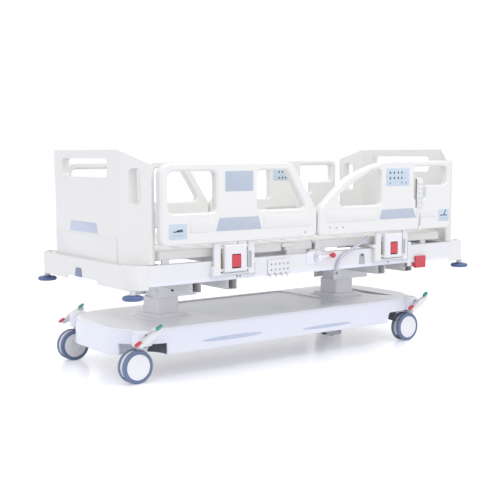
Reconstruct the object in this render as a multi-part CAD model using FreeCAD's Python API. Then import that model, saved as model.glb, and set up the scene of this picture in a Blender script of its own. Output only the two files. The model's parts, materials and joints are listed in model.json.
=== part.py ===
import FreeCAD, Part
import math
import os
from FreeCAD import Vector

# Electric ward bed with two lifting columns, four deck sections and four folding side rails.
# Millimetres. X runs along the bed: foot end at -X, head end at +X. Near side is -Y. Floor is z = 0.
# The origin is on the floor, under the middle of the upper frame.

# Casters
wheel_radius = 75.0
wheel_width = 20.0
caster_width = 60.0
caster_trail = 35.0
axle_radius = 8.0
running_gap = 0.06
foot_stem_x = -906.0
head_stem_x = 756.0
stem_y = 312.0
stem_radius = 14.0
stem_top = 230.0
spigot_radius = 10.0
spigot_top = 192.0
swivel_plate_radius = 28.0
swivel_plate_top = 160.0
wheel_clearance = 1.2

# Brake rockers on the hexagon bars
brake_axis_z = 208.0
hex_radius = 6.2
rocker_reach = 66.0
rocker_tilt = 30.0
rocker_y = 384.0
rocker_width = 24.0
pad_length = 34.0
pad_thickness = 9.0
pad_seat = 9.0
crank_length = 64.0
crank_y = 120.0
crank_thickness = 10.0
link_pin_radius = 6.0
link_rod_radius = 7.0
crank_notch = 12.0

# Base chassis and cover
tube_wall = 3.0
weld_overlap = 5.0
runner_y = 168.0
runner_width = 40.0
chassis_bottom = 162.0
runner_height = 46.0
sleeve_radius = 20.0
cover_foot_x = -1000.0
cover_head_x = 872.0
cover_half_width = 340.0
cover_corner = 225.0
cover_bottom = 112.0
cover_shoulder = 222.0
cover_brow = 231.0
cover_top = 236.0
cover_wall = 4.0
shoulder_inset = 8.0
brow_inset = 14.0
plateau_inset = 32.0
arch_radius = 118.0
arch_top = 166.0
arch_floor = 60.0
head_arch_length = 205.0
lobe_radius = 46.0
lobe_top = 240.0
lobe_foot = 152.0
saddle_depth = 14.0
saddle_length = 250.0
panel_margin = 54.0
panel_depth = 6.0
panel_corner = 60.0
collar_plinth = 52.0
collar_margin = 26.0
collar_taper = 8.0
collar_step = 11.0
stem_cross_length = 24.0
stem_cross_reach = 8.0
stem_cross_drop = 4.0
column_plate_half = 95.0
column_plate_thickness = 10.0
pivot_plate_thickness = 8.0
pivot_lug_in = 21.0
pivot_lug_out = 29.0
pivot_lug_half = 14.0
crank_space_half = 60.0
crank_space_side = 8.0
crank_slot_half = 24.0

# Steering fifth wheel, parked clear of the floor
fifth_x = 445.0
fifth_radius = 44.0
fifth_lift = 10.0
fifth_pivot_x = 680.0
fifth_pivot_z = 126.0
fifth_guard_length = 106.0
fifth_guard_width = 100.0
fifth_plate = 6.0
fifth_axle_radius = 6.0

# Lifting columns
foot_column_x = -622.0
head_column_x = 503.0
column_length_x = 125.0
column_depth_y = 140.0
column_wall = 5.0
column_corner = 14.0
column_gap = 0.7
column_bottom = 108.0
column_top = 325.0
column_floor = 8.0

# Overall sizes that the frame, boards, deck and rails follow
end_outer_x = 1040.0
deck_half_width = 428.0
beam_margin = 28.0
frame_foot_inset = 90.0
frame_head_inset = 135.0

# Upper frame
beam_outer_y = deck_half_width + beam_margin
beam_width = 40.0
beam_bottom = 443.0
beam_height = 90.0
beam_foot_x = frame_foot_inset - end_outer_x
beam_head_x = end_outer_x - frame_head_inset
cross_width = 50.0
cross_height = 50.0
cross_seat = 10.0
middle_cross = 40.0
channel_wall = 5.0
channel_half_y = 84.0
channel_back = 92.0
channel_front = 152.0

# End covers and corner bumpers
end_cover_y = beam_outer_y
end_cover_bottom = 430.0
end_cover_top = 534.0
end_cover_rise = 16.0
end_cover_raised_y = 150.0
end_corner = 56.0
end_wall = 4.0
bumper_inset = 25.5
bumper_x = end_outer_x - bumper_inset
bumper_y = end_cover_y - bumper_inset
bumper_radius = 46.0
bumper_bottom = 390.0
bumper_height = 22.0
bumper_pin_radius = 8.0
bumper_washer_radius = 15.0
bumper_washer_gap = 0.6
bumper_head = 4.0

# Head and foot boards
board_inset = 39.0
board_cut_margin = 60.0
board_centre_x = end_outer_x - board_inset
board_half_thickness = 17.0
board_wing_depth = 86.0
board_wing_width = 128.0
board_overhang = 12.0
board_wing_x = board_centre_x - board_wing_depth
board_wing_y = deck_half_width + board_overhang
board_flat_y = board_wing_y - board_wing_width
board_bend_radius = 60.0
board_top = 1027.0
board_wing_top = 968.0
board_window_margin = 86.0
board_window_y = board_flat_y - board_window_margin
board_window_bottom = 904.0
board_window_top = 991.0
wing_slot_inset = 56.0
wing_slot_y = board_wing_y - wing_slot_inset
wing_slot_width = 46.0
wing_slot_bottom = 790.0
wing_slot_top = 948.0
post_radius = 12.5
post_inset = 16.0
post_y = board_flat_y - post_inset
post_length = 75.0
post_gap = 0.5
socket_wall = 4.0
pole_end_inset = 30.0
pole_side_inset = 48.0
pole_x = end_outer_x - pole_end_inset
pole_y = beam_outer_y - pole_side_inset
pole_bore_radius = 9.5
pole_bottom = 455.0
pole_top = 540.0
end_tube_inset = 12.0
end_tube_width = 56.0
end_tube_out = end_outer_x - end_tube_inset
end_tube_in = end_tube_out - end_tube_width
end_tube_height = 60.0
end_tube_margin = 36.0
end_tube_y = end_cover_y - end_tube_margin
corner_plate = 6.0

# Deck sections
deck_bottom = 552.0
deck_top = 590.0
deck_skin = 8.0
deck_rim = 14.0
deck_gap = 6.0
deck_foot_inset = 25.0
deck_head_inset = 7.0
deck_foot_x = beam_foot_x + deck_foot_inset
deck_head_x = beam_head_x - deck_head_inset
deck_corner_x = 48.0
deck_corner_y = 60.0
knee_x = -520.0
thigh_x = -205.0
back_x = 0.0
hinge_z = 580.0
knee_z = 557.0
hinge_pin_radius = 5.0
hinge_eye_radius = 9.0
hinge_eye_width = 23.0
hinge_eye_inset = 1.0
hinge_eye_out = deck_half_width - hinge_eye_inset
hinge_eye_in = hinge_eye_out - hinge_eye_width
hinge_plate = 8.0
shoe_half_length = 50.0
keeper_radius = 4.0
keeper_low_x = -460.0
keeper_high_x = -405.0
keeper_inset = 7.0
keeper_y = deck_half_width - keeper_inset
keeper_top = 702.0
slot_length = 100.0
slot_width = 14.0
section_tube = 15.0
section_cross = 24.0
section_inset = 110.0
section_bar_inset = 18.0
section_reach = deck_half_width - section_inset
section_bar_y = section_reach - section_bar_inset
section_first = 45.0
section_last = 120.0
section_tail = 70.0
outrigger_width = 22.0
deck_seat_gap = 0.3

# Side rails
rail_margin = 57.0
rail_outer_y = deck_half_width + rail_margin
rail_thickness = 45.0
rail_edge = 7.0
rail_bottom = 614.0
rail_top = 968.0
foot_rail_inset = 22.0
head_rail_inset = 16.0
foot_rail_left = deck_foot_x + foot_rail_inset
foot_rail_right = -43.0
head_rail_left = -36.0
head_rail_right = deck_head_x - head_rail_inset
window_bottom = 752.0
window_top = 934.0
post_width = 38.0
foot_window_end = 285.0
foot_window_start = 510.0
foot_window_tail = 66.0
foot_rail_slope = 148.0
foot_slope_inset = 28.0

# Rail arms, latches and their pivots
foot_arm_x = -516.0
head_arm_x = 462.0
arm_half_span = 110.0
arm_plate_width = 34.0
arm_half_thickness = 7.0
arm_boss = 9.0
pivot_depth = 17.0
pivot_y = rail_outer_y - pivot_depth
lower_pivot_z = 472.0
upper_pivot_z = 632.0
pivot_pin_radius = 5.0
fold_angle = 150.0
pocket_gap = 2.0
lug_thickness = 8.0
latch_half_width = 60.0
latch_proud = 5.0
latch_outer_y = rail_outer_y + latch_proud
latch_bottom = 481.0
latch_top = 604.0
latch_window_half = 25.0
latch_window_bottom = 497.0
latch_window_top = 562.0
latch_gap = 1.0
latch_pin_radius = 2.5

# Fittings on the side beams
hook_plate_x = -250.0
hook_plate_length = 136.0
hook_plate_bottom = 449.0
hook_plate_top = 519.0
hook_plate_thickness = 5.0
cpr_x = 640.0
cpr_length = 72.0
cpr_top = 474.0
cpr_bottom = 412.0
cpr_pin_radius = 4.0
lockout_x = -16.0
lockout_z = 512.0
lockout_radius = 24.0
lockout_reach = 79.0
lockout_knob_radius = 14.0

# Handset on the near head rail
handset_x = 645.0
handset_width = 44.0
handset_length = 156.0
handset_bottom = 726.0
handset_depth = 22.0
handset_recess = 15.0
handset_gap = 0.5
cord_radius = 3.0
cord_proud = 3.5
cord_outer_y = rail_outer_y + cord_proud
cord_end_z = 632.0

bodies = {}


def export(name, shape):
    """Write one node and keep its shape for a look at the volumes."""
    bodies[name] = shape
    shape.exportStep("parts/" + name + ".step")


def box(x0, x1, y0, y1, z0, z1):
    """Box between two corners, in either order."""
    low = Vector(min(x0, x1), min(y0, y1), min(z0, z1))
    return Part.makeBox(abs(x1 - x0), abs(y1 - y0), abs(z1 - z0), low)


def square_tube(x0, x1, y0, y1, z0, z1, along):
    """Hollow box section, open at both ends along x or y."""
    w = tube_wall
    if along == "x":
        inside = box(x0 - 1, x1 + 1, min(y0, y1) + w, max(y0, y1) - w, z0 + w, z1 - w)
    else:
        inside = box(x0 + w, x1 - w, y0 - 1, y1 + 1, z0 + w, z1 - w)
    return box(x0, x1, y0, y1, z0, z1).cut(inside)


def rod(radius, start, end):
    """Round bar between two points."""
    axis = end - start
    return Part.makeCylinder(radius, axis.Length, start, axis)


def joined(shapes):
    """One clean solid from shapes that touch or overlap."""
    whole = shapes[0]
    if len(shapes) > 1:
        whole = whole.fuse(shapes[1:])
    return whole.removeSplitter()


def mirrored_y(shape):
    """The same piece on the other side of the bed."""
    return shape.mirror(Vector(0, 0, 0), Vector(0, 1, 0))


def mirrored_x(shape):
    """The same piece at the other end of the bed."""
    return shape.mirror(Vector(0, 0, 0), Vector(1, 0, 0))


def in_plane(plane, a, b):
    """Point of a drawing plane as a point in space."""
    if plane == "xy":
        return Vector(a, b, 0)
    if plane == "xz":
        return Vector(a, 0, b)
    return Vector(0, a, b)


def outline(points, radii, plane):
    """Closed outline with each corner rounded by its own radius."""
    flat = [Vector(a, b, 0) for a, b in points]
    corners = []
    for i, corner in enumerate(flat):
        radius = radii[i] if isinstance(radii, (list, tuple)) else radii
        before = (flat[i - 1] - corner).normalize()
        after = (flat[(i + 1) % len(flat)] - corner).normalize()
        half_angle = before.getAngle(after) / 2
        if radius <= 0 or half_angle > math.pi / 2 - 1e-4:
            corners.append((corner, None, corner))
            continue
        reach = radius / math.tan(half_angle)
        bisector = (before + after).normalize()
        centre = corner + bisector * (radius / math.sin(half_angle))
        corners.append((corner + before * reach, centre - bisector * radius, corner + after * reach))
    edges = []
    for i, (start, middle, end) in enumerate(corners):
        if middle is not None:
            arc = [in_plane(plane, p.x, p.y) for p in (start, middle, end)]
            edges.append(Part.Arc(*arc).toShape())
        following = corners[(i + 1) % len(corners)][0]
        if (following - end).Length > 1e-6:
            ends = [in_plane(plane, p.x, p.y) for p in (end, following)]
            edges.append(Part.LineSegment(*ends).toShape())
    return Part.Wire(edges)


def prism(points, radii, plane, low, high):
    """Solid with a rounded outline, between two heights along the plane's normal."""
    normal = {"xy": Vector(0, 0, 1), "xz": Vector(0, 1, 0), "yz": Vector(1, 0, 0)}[plane]
    face = Part.Face(outline(points, radii, plane))
    face.translate(normal * low)
    return face.extrude(normal * (high - low))


def rounded_box(x0, x1, y0, y1, z0, z1, radius):
    """Upright box with rounded vertical corners."""
    return prism([(x0, y0), (x1, y0), (x1, y1), (x0, y1)], radius, "xy", z0, z1)


def softened(shape, radius, keep):
    """Chamfer the edges that a test picks."""
    edges = [edge for edge in shape.Edges if keep(edge)]
    return shape.makeChamfer(radius, edges)


def turned(points, centre, axis):
    """Solid of revolution; points are (radius, distance along the axis)."""
    wire = Part.makePolygon([Vector(r, 0, h) for r, h in points + points[:1]])
    solid = Part.Face(wire).revolve(Vector(0, 0, 0), Vector(0, 0, 1), 360)
    solid.Placement = FreeCAD.Placement(centre, FreeCAD.Rotation(Vector(0, 0, 1), axis))
    return solid


# Casters

def caster_housing(stem_x, side):
    """Hood between the twin wheels, with the swivel plate and spigot above it."""
    y = side * stem_y
    half = caster_width / 2 - wheel_width - wheel_clearance
    axle = Vector(stem_x - caster_trail, y, wheel_radius)
    hood_radius = wheel_radius - 4
    hood = rod(hood_radius, axle - Vector(0, half, 0), axle + Vector(0, half, 0))
    hood = hood.cut(box(axle.x - 90, axle.x + 90, y - 40, y + 40, 0, 34))
    neck = box(stem_x - 22, stem_x + 22, y - half, y + half, 110, swivel_plate_top - 8)
    plate_top = Vector(stem_x, y, swivel_plate_top)
    plate = rod(swivel_plate_radius, plate_top - Vector(0, 0, 8), plate_top)
    spigot = rod(spigot_radius, Vector(stem_x, y, swivel_plate_top - 2), Vector(stem_x, y, spigot_top))
    whole = joined([hood, neck, plate, spigot])
    bore = rod(axle_radius + running_gap, axle - Vector(0, 50, 0), axle + Vector(0, 50, 0))
    return whole.cut(bore)


def caster_wheels(stem_x, side):
    """Two wheels on one axle, each with a tread, a rim step and a domed side disc."""
    centre = Vector(stem_x - caster_trail, side * stem_y, wheel_radius)
    inner = caster_width / 2 - wheel_width
    outer = caster_width / 2
    tread_edge = 4.0
    rim = wheel_radius - 9
    hub = 17.0
    profile = [(0, inner), (wheel_radius - tread_edge, inner), (wheel_radius, inner + tread_edge),
               (wheel_radius, outer - tread_edge - 1), (wheel_radius - tread_edge, outer - 1),
               (rim, outer - 1), (rim - 2, outer - 3), (rim - 8, outer - 1), (hub + 6, outer),
               (hub, outer - 1.5), (0, outer - 1.5)]
    wheels = [turned(profile, centre, Vector(0, direction, 0)) for direction in (-1, 1)]
    axle = rod(axle_radius, centre - Vector(0, inner + 1, 0), centre + Vector(0, inner + 1, 0))
    return joined(wheels + [axle])


def caster_stem(stem_x, side):
    """Fixed stem with a blind bore for the spigot and a cross hole for the brake bar."""
    y = side * stem_y
    foot = Vector(stem_x, y, swivel_plate_top + 0.5)
    stem = rod(stem_radius, foot, Vector(stem_x, y, stem_top))
    bore_top = Vector(stem_x, y, spigot_top + 0.5)
    stem = stem.cut(rod(spigot_radius + running_gap, foot - Vector(0, 0, 1), bore_top))
    return stem.cut(brake_hole(stem_x, y, 1.0))


def brake_hole(stem_x, y, gap):
    """Clearance for the brake bar, across one stem."""
    reach = Vector(0, 45, 0)
    centre = Vector(stem_x, y, brake_axis_z)
    return rod(hex_radius + gap, centre - reach, centre + reach)


# Brakes

def brake_bar(stem_x):
    """Hexagon bar with a crank for the link rod and a rocker at each end."""
    corners = [(hex_radius * math.cos(math.radians(60 * i)), hex_radius * math.sin(math.radians(60 * i)))
               for i in range(6)]
    points = [(stem_x + a, brake_axis_z + b) for a, b in corners]
    pieces = [prism(points, 0, "xz", -rocker_y - rocker_width / 2, rocker_y + rocker_width / 2)]
    crank = prism([(-11, -crank_length - 10), (11, -crank_length - 10), (13, 12), (-13, 12)],
                  9, "xz", crank_y, crank_y + crank_thickness)
    crank = crank.cut(rod(link_pin_radius + running_gap, Vector(0, crank_y - 5, -crank_length),
                          Vector(0, crank_y + 20, -crank_length)))
    pieces.append(tilted(crank, stem_x))
    for side in (-1, 1):
        pieces.append(rocker(stem_x, side))
    return joined(pieces)


def rocker(stem_x, side):
    """Two-ended foot lever, tapered from its hub to the pads."""
    hub = 15.0
    tip = 7.0
    seat_x = rocker_reach - pad_length / 2 - 5
    points = [(-rocker_reach, -tip), (-hub, -hub), (hub, -hub), (rocker_reach, -tip),
              (rocker_reach, pad_seat), (seat_x, pad_seat), (hub, hub), (-hub, hub),
              (-seat_x, pad_seat), (-rocker_reach, pad_seat)]
    low = side * rocker_y - rocker_width / 2
    lever = prism(points, [5, 10, 10, 5, 3, 3, 10, 10, 3, 3], "xz", low, low + rocker_width)
    return tilted(lever, stem_x)


def tilted(shape, stem_x):
    """Turn a piece drawn level to the rocker's parked tilt, on its bar."""
    shape.rotate(Vector(0, 0, 0), Vector(0, 1, 0), -rocker_tilt)
    shape.translate(Vector(stem_x, 0, brake_axis_z))
    return shape


def brake_pads(stem_x):
    """Oval pads on the rocker's ends: release side and lock side."""
    pads = []
    for side in (-1, 1):
        for end in (-1, 1):
            y = side * rocker_y
            x = end * (rocker_reach - 4)
            pad = rounded_box(x - pad_length / 2, x + pad_length / 2, y - rocker_width / 2 + 2,
                              y + rocker_width / 2 - 2, 0, pad_thickness, 9.5)
            pad.translate(Vector(0, 0, pad_seat))
            pads.append(tilted(pad, stem_x))
    return Part.makeCompound(pads)


def crank_pin(stem_x):
    """Middle of the crank's pin, at the parked tilt."""
    tilt = math.radians(rocker_tilt)
    reach_x = crank_length * math.sin(tilt)
    reach_z = crank_length * math.cos(tilt)
    return Vector(stem_x + reach_x, crank_y, brake_axis_z - reach_z)


def brake_link():
    """Rod that couples the foot and head brake bars."""
    foot_pin = crank_pin(foot_stem_x)
    head_pin = crank_pin(head_stem_x)
    back = Vector(0, -link_rod_radius - 2, 0)
    reach = Vector(0, crank_thickness + 3, 0)
    pieces = [rod(link_rod_radius, foot_pin + back, head_pin + back)]
    for pin, gap in ((foot_pin, 0.0), (head_pin, 0.5)):
        pieces.append(rod(link_pin_radius - gap, pin + back, pin + reach))
        pieces.append(rod(link_rod_radius + 1, pin + back * 1.7, pin - Vector(0, 1, 0)))
    return joined(pieces)


# Base

def base_chassis():
    """Welded chassis: runners, cross tubes with stem sleeves, column plates and the pivot plate."""
    foot_inner = foot_stem_x + sleeve_radius - weld_overlap
    head_inner = head_stem_x - sleeve_radius + weld_overlap
    runner_foot = foot_inner + stem_cross_length
    runner_head = head_inner - stem_cross_length
    pieces = []
    for side in (-1, 1):
        y0 = side * runner_y - runner_width / 2
        pieces.append(square_tube(runner_foot, runner_head, y0, y0 + runner_width,
                                  chassis_bottom, chassis_bottom + runner_height, "x"))
    pieces.append(stem_cross(foot_stem_x, foot_inner, runner_foot))
    pieces.append(stem_cross(head_stem_x, runner_head, head_inner))
    for column_x in (foot_column_x, head_column_x):
        pieces.append(column_plate(column_x))
    pieces.append(pivot_plate(runner_head))
    return Part.makeCompound(pieces)


def crank_space(stem_x):
    """Room for one brake crank and the link rod to swing."""
    top = chassis_bottom + runner_height - crank_notch
    y0 = crank_y - crank_space_side
    y1 = crank_y + crank_thickness + crank_space_side
    below = box(stem_x - crank_space_half, stem_x + crank_space_half, y0, y1, chassis_bottom - 1, top)
    slot = box(stem_x - crank_slot_half, stem_x + crank_slot_half, y0, y1, top - 1, stem_top)
    return joined([below, slot])


def stem_cross(stem_x, x0, x1):
    """Cross tube at one end of the runners, with a sleeve for each caster stem."""
    reach = stem_y + stem_cross_reach
    top = chassis_bottom + runner_height - stem_cross_drop
    pieces = [square_tube(x0, x1, -reach, reach, chassis_bottom, top, "y")]
    for side in (-1, 1):
        foot = Vector(stem_x, side * stem_y, chassis_bottom + stem_cross_reach)
        pieces.append(rod(sleeve_radius, foot, Vector(foot.x, foot.y, stem_top - stem_cross_drop)))
    whole = joined(pieces).cut(crank_space(stem_x))
    for side in (-1, 1):
        foot = Vector(stem_x, side * stem_y, chassis_bottom)
        whole = whole.cut(rod(stem_radius, foot, Vector(foot.x, foot.y, stem_top + 1)))
        whole = whole.cut(brake_hole(stem_x, foot.y, 2.0))
    return whole


def column_plate(column_x):
    """Plate between the runners that carries one column."""
    reach = runner_y - runner_width / 2
    plate = box(column_x - column_plate_half, column_x + column_plate_half, -reach, reach,
                chassis_bottom, chassis_bottom + column_plate_thickness)
    return plate.cut(column_block(column_x, 0.0, chassis_bottom - 1, chassis_bottom + runner_height))


def pivot_plate(head_x):
    """Plate with two lugs for the pivot of the steering arm."""
    reach = runner_y - runner_width / 2
    low = chassis_bottom
    x0 = fifth_pivot_x - pivot_lug_half
    pieces = [box(x0 - 2, head_x, -reach, reach, low, low + pivot_plate_thickness)]
    x1 = fifth_pivot_x + pivot_lug_half
    lug_foot = fifth_pivot_z - pivot_lug_half
    pin = Vector(fifth_pivot_x, 0, fifth_pivot_z)
    lug = prism([(x0, lug_foot), (x1, lug_foot), (x1, low + 2), (x0, low + 2)],
                [10, 10, 0, 0], "xz", pivot_lug_in, pivot_lug_out)
    lug = lug.cut(rod(fifth_axle_radius + running_gap, pin, pin + Vector(0, 2 * pivot_lug_out, 0)))
    return joined(pieces + [lug, mirrored_y(lug)]).cut(crank_space(head_stem_x))


def column_block(column_x, inset, low, high):
    """Full column section, shrunk by an inset on every side."""
    half_x = column_length_x / 2 - inset
    half_y = column_depth_y / 2 - inset
    radius = max(column_corner - inset, 2.0)
    return rounded_box(column_x - half_x, column_x + half_x, -half_y, half_y, low, high, radius)


def cover_layer(inset, z):
    """Plan outline of the base cover at one height."""
    x0 = cover_foot_x + inset
    x1 = cover_head_x - inset
    y = cover_half_width - inset
    radius = cover_corner - inset
    wire = outline([(x0, -y), (x1, -y), (x1, y), (x0, y)], radius, "xy")
    wire.translate(Vector(0, 0, z))
    return wire


def cover_body(wall):
    """Outer form of the base cover, or its hollow when a wall is given."""
    steps = [(0, cover_bottom), (shoulder_inset, cover_shoulder), (brow_inset, cover_brow),
             (plateau_inset, cover_top)]
    layers = [cover_layer(wall + inset, z - wall) for inset, z in steps]
    body = joined([Part.makeLoft([low, high], True, True) for low, high in zip(layers, layers[1:])])
    for end in (-1, 1):
        body = body.cut(saddle(end, wall))
    body = body.cut(top_panel(wall))
    lobes = [caster_lobe(x, side, wall) for x in (foot_stem_x, head_stem_x) for side in (-1, 1)]
    return joined([body] + lobes)


def caster_lobe(stem_x, side, wall):
    """Rounded dome over one caster stem."""
    r = lobe_radius - wall
    top = lobe_top - wall
    profile = [(0, lobe_foot), (r, lobe_foot), (r, top - 0.55 * r), (0.93 * r, top - 0.3 * r),
               (0.76 * r, top - 0.13 * r), (0.48 * r, top - 0.04 * r), (0, top)]
    return turned(profile, Vector(stem_x, side * stem_y, 0), Vector(0, 0, 1))


def saddle(end, wall):
    """Shallow trough across the top at one end, fading out towards the column."""
    half = cover_half_width - lobe_radius
    radius = half ** 2 / (2 * saddle_depth)
    end_x = cover_foot_x if end < 0 else cover_head_x
    slope = saddle_depth / saddle_length
    start = Vector(end_x + end * 10, 0, cover_top - wall - saddle_depth * 1.04 + radius)
    run = Vector(-end * (saddle_length + 40), 0, slope * (saddle_length + 40))
    return rod(radius, start, start + run)


def top_panel(wall):
    """Sunken panel in the top, between the two columns."""
    x0 = foot_column_x + column_length_x / 2 + collar_plinth + panel_margin
    x1 = head_column_x - column_length_x / 2 - collar_plinth - panel_margin
    half = cover_half_width - plateau_inset - panel_margin / 2
    return rounded_box(x0 - wall, x1 + wall, -half - wall, half + wall,
                       cover_top - panel_depth - wall, cover_top + 1, panel_corner + wall)


def collar(column_x):
    """Two tapered steps round the foot of a column."""
    steps = []
    foot = cover_top - collar_taper
    for margin, low in ((collar_plinth, foot), (collar_margin, foot + collar_step)):
        wires = []
        for grow, z in ((margin + collar_taper, low), (margin, low + collar_step + 1)):
            half_x = column_length_x / 2 + grow
            half_y = column_depth_y / 2 + grow
            wire = outline([(column_x - half_x, -half_y), (column_x + half_x, -half_y),
                            (column_x + half_x, half_y), (column_x - half_x, half_y)], grow, "xy")
            wire.translate(Vector(0, 0, z))
            wires.append(wire)
        steps.append(Part.makeLoft(wires, True, True))
    return steps


def base_cover():
    """Moulded cover with caster domes, wheel arches and a stepped collar round each column."""
    pieces = [cover_body(0.0)]
    for column_x in (foot_column_x, head_column_x):
        pieces += collar(column_x)
    shell = joined(pieces).cut(cover_body(cover_wall))
    for column_x in (foot_column_x, head_column_x):
        shell = shell.cut(column_block(column_x, -1.0, cover_shoulder - 40, column_top))
    for side in (-1, 1):
        for stem_x in (foot_stem_x, head_stem_x):
            centre = Vector(stem_x, side * stem_y, arch_floor)
            shell = shell.cut(rod(arch_radius, centre, Vector(centre.x, centre.y, arch_top)))
            shell = shell.cut(brake_hole(stem_x, side * (stem_y + 20), 6.0))
        inner_x = head_stem_x - head_arch_length
        arch = prism([(inner_x, arch_floor), (head_stem_x, arch_floor), (head_stem_x, arch_top),
                      (inner_x + 30, arch_top)], [0, 0, 0, 20], "xz",
                     stem_y - arch_radius + 40, stem_y + 100)
        if side < 0:
            arch = mirrored_y(arch)
        shell = shell.cut(arch)
    return shell


# Fifth wheel

def fifth_wheel_arm():
    """Swinging arm with a guard over the steering wheel."""
    z0 = fifth_lift + 2 * fifth_radius
    x0 = fifth_x - fifth_guard_length / 2
    x1 = fifth_x + fifth_guard_length / 2
    half = fifth_guard_width / 2
    top = z0 + fifth_plate
    pieces = [box(x0, x1, -half, half, z0 + 1, top)]
    for side in (-1, 1):
        side_plate = prism([(x0, fifth_lift + 8), (x1, fifth_lift + 8), (x1, top), (x0, top)], [14, 14, 0, 0],
                           "xz", half - fifth_plate, half)
        pieces.append(side_plate if side > 0 else mirrored_y(side_plate))
    arm = [(x1 - 6, top - 10), (fifth_pivot_x - 80, top - 10), (fifth_pivot_x + 8, fifth_pivot_z - 10),
           (fifth_pivot_x, fifth_pivot_z + 10), (fifth_pivot_x - 86, top), (x1 - 6, top)]
    pieces.append(prism(arm, [0, 20, 8, 8, 20, 0], "xz", -18, 18))
    pivot = Vector(fifth_pivot_x, 0, fifth_pivot_z)
    pieces.append(rod(fifth_axle_radius, pivot - Vector(0, 30, 0), pivot + Vector(0, 30, 0)))
    guard = joined(pieces)
    z = fifth_lift + fifth_radius
    return guard.cut(rod(fifth_axle_radius + running_gap, Vector(fifth_x, -80, z), Vector(fifth_x, 80, z)))


def fifth_wheel():
    """Twin steering wheels on one axle."""
    centre = Vector(fifth_x, 0, fifth_lift + fifth_radius)
    r = fifth_radius
    profile = [(0, 8), (r - 4, 8), (r, 12), (r, 28), (r - 4, 32), (0, 32)]
    wheels = [turned(profile, centre, Vector(0, direction, 0)) for direction in (-1, 1)]
    reach = Vector(0, fifth_guard_width / 2, 0)
    return joined(wheels + [rod(fifth_axle_radius, centre - reach, centre + reach)])


# Columns

def lift_column_base(column_x):
    """Fixed outer tube of a lifting column, closed at its foot."""
    outer = column_block(column_x, 0.0, column_bottom, column_top)
    return outer.cut(column_block(column_x, column_wall, column_bottom + column_floor, column_top + 10))


def column_stage(column_x, stage, top):
    """Moving tube of a column; stage 1 is the middle tube, stage 2 the inner one."""
    inset = stage * (column_wall + column_gap)
    low = column_bottom + column_floor + 2.0 * stage
    outer = column_block(column_x, inset, low, top)
    return outer.cut(column_block(column_x, inset + column_wall, low - 1, top + 1))


def column_head(column_x):
    """Channel on top of a column that carries the cross members."""
    low = column_top + 3
    high = beam_bottom - cross_height
    back = column_x - channel_back
    front = column_x + channel_front
    channel = box(back, front, -channel_half_y, channel_half_y, low, high)
    half = channel_half_y - channel_wall
    channel = channel.cut(box(back - 1, front + 1, -half, half, low - 1, high - channel_wall))
    for hole_x in (back + 22, front - 46):
        channel = channel.cut(rod(9, Vector(hole_x, -200, high - 28), Vector(hole_x, 200, high - 28)))
    return channel


# Upper frame

def main_frame():
    """Welded upper frame: side beams, cross tubes, deck rests and the two end sections."""
    inner_y = beam_outer_y - beam_width
    pieces = []
    for side in (-1, 1):
        pieces.append(square_tube(beam_foot_x, beam_head_x, side * inner_y, side * beam_outer_y,
                                  beam_bottom, beam_bottom + beam_height, "x"))
    reach = inner_y + cross_seat
    for column_x in (foot_column_x, head_column_x):
        for x in (column_x - channel_back, column_x + channel_front - cross_width):
            pieces.append(square_tube(x, x + cross_width, -reach, reach,
                                      beam_bottom - cross_height, beam_bottom, "y"))
    half = middle_cross / 2
    for x in (thigh_x, back_x):
        pieces.append(square_tube(x - half, x + half, -inner_y, inner_y,
                                  beam_bottom, beam_bottom + middle_cross, "y"))
    pieces += deck_rests()
    pieces += [frame_end(end) for end in (-1, 1)]
    return Part.makeCompound(pieces)


def deck_rests():
    """Blocks on the side beams: two carry the seat, the others stop the moving sections."""
    beam_top = beam_bottom + beam_height
    inner_y = beam_outer_y - beam_width
    rests = []
    for side in (-1, 1):
        y0 = side * inner_y
        y1 = side * (deck_half_width - 2)
        rests.append(box(thigh_x + 25, back_x - 60, y0, y1, beam_top, deck_bottom))
        for x in (deck_foot_x + 60, knee_x + 40, deck_head_x - 180):
            rests.append(box(x, x + 36, y0, y1, beam_top, deck_bottom - deck_seat_gap))
    return rests


def frame_end(end):
    """End tube with its corner plates, bumper pins, post sleeves and pole sockets."""
    reach = beam_foot_x if end < 0 else beam_head_x
    top_z = beam_bottom + end_tube_height
    x0 = min(end * end_tube_in, end * end_tube_out)
    x1 = x0 + end_tube_out - end_tube_in
    pieces = [square_tube(x0, x1, -end_tube_y, end_tube_y, beam_bottom, top_z, "y")]
    bores = []
    for side in (-1, 1):
        y_in = side * (beam_outer_y - beam_width)
        y_out = side * (beam_outer_y - corner_plate)
        side_end = end * (end_tube_in + 10)
        pieces.append(square_tube(min(reach, side_end), max(reach, side_end), y_in, y_out,
                                  beam_bottom, top_z, "x"))
        a = end * (end_tube_in - 12)
        b = end * (end_tube_out + 2)
        y_low = side * (pole_y - 13)
        y_high = side * (bumper_y + 10)
        pieces.append(prism([(a, y_low), (b, y_low), (b, y_high), (a, y_high)], [0, 0, 30, 0], "xy",
                            beam_bottom, beam_bottom + corner_plate))
        post = Vector(end * board_centre_x, side * post_y, beam_bottom)
        post_hole = post_radius + post_gap
        pieces.append(rod(post_hole + socket_wall, post, Vector(post.x, post.y, end_cover_top - end_wall)))
        bores.append(rod(post_hole, post - Vector(0, 0, 10), Vector(post.x, post.y, end_cover_top)))
        pole = Vector(end * pole_x, side * pole_y, beam_bottom)
        pieces.append(rod(pole_bore_radius + socket_wall, pole, Vector(pole.x, pole.y, pole_top)))
        bores.append(rod(pole_bore_radius, Vector(pole.x, pole.y, pole_bottom),
                         Vector(pole.x, pole.y, pole_top + 10)))
        pieces += bumper_pin(end * bumper_x, side * bumper_y)
    whole = joined(pieces)
    for bore in bores:
        whole = whole.cut(bore)
    return whole


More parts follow.
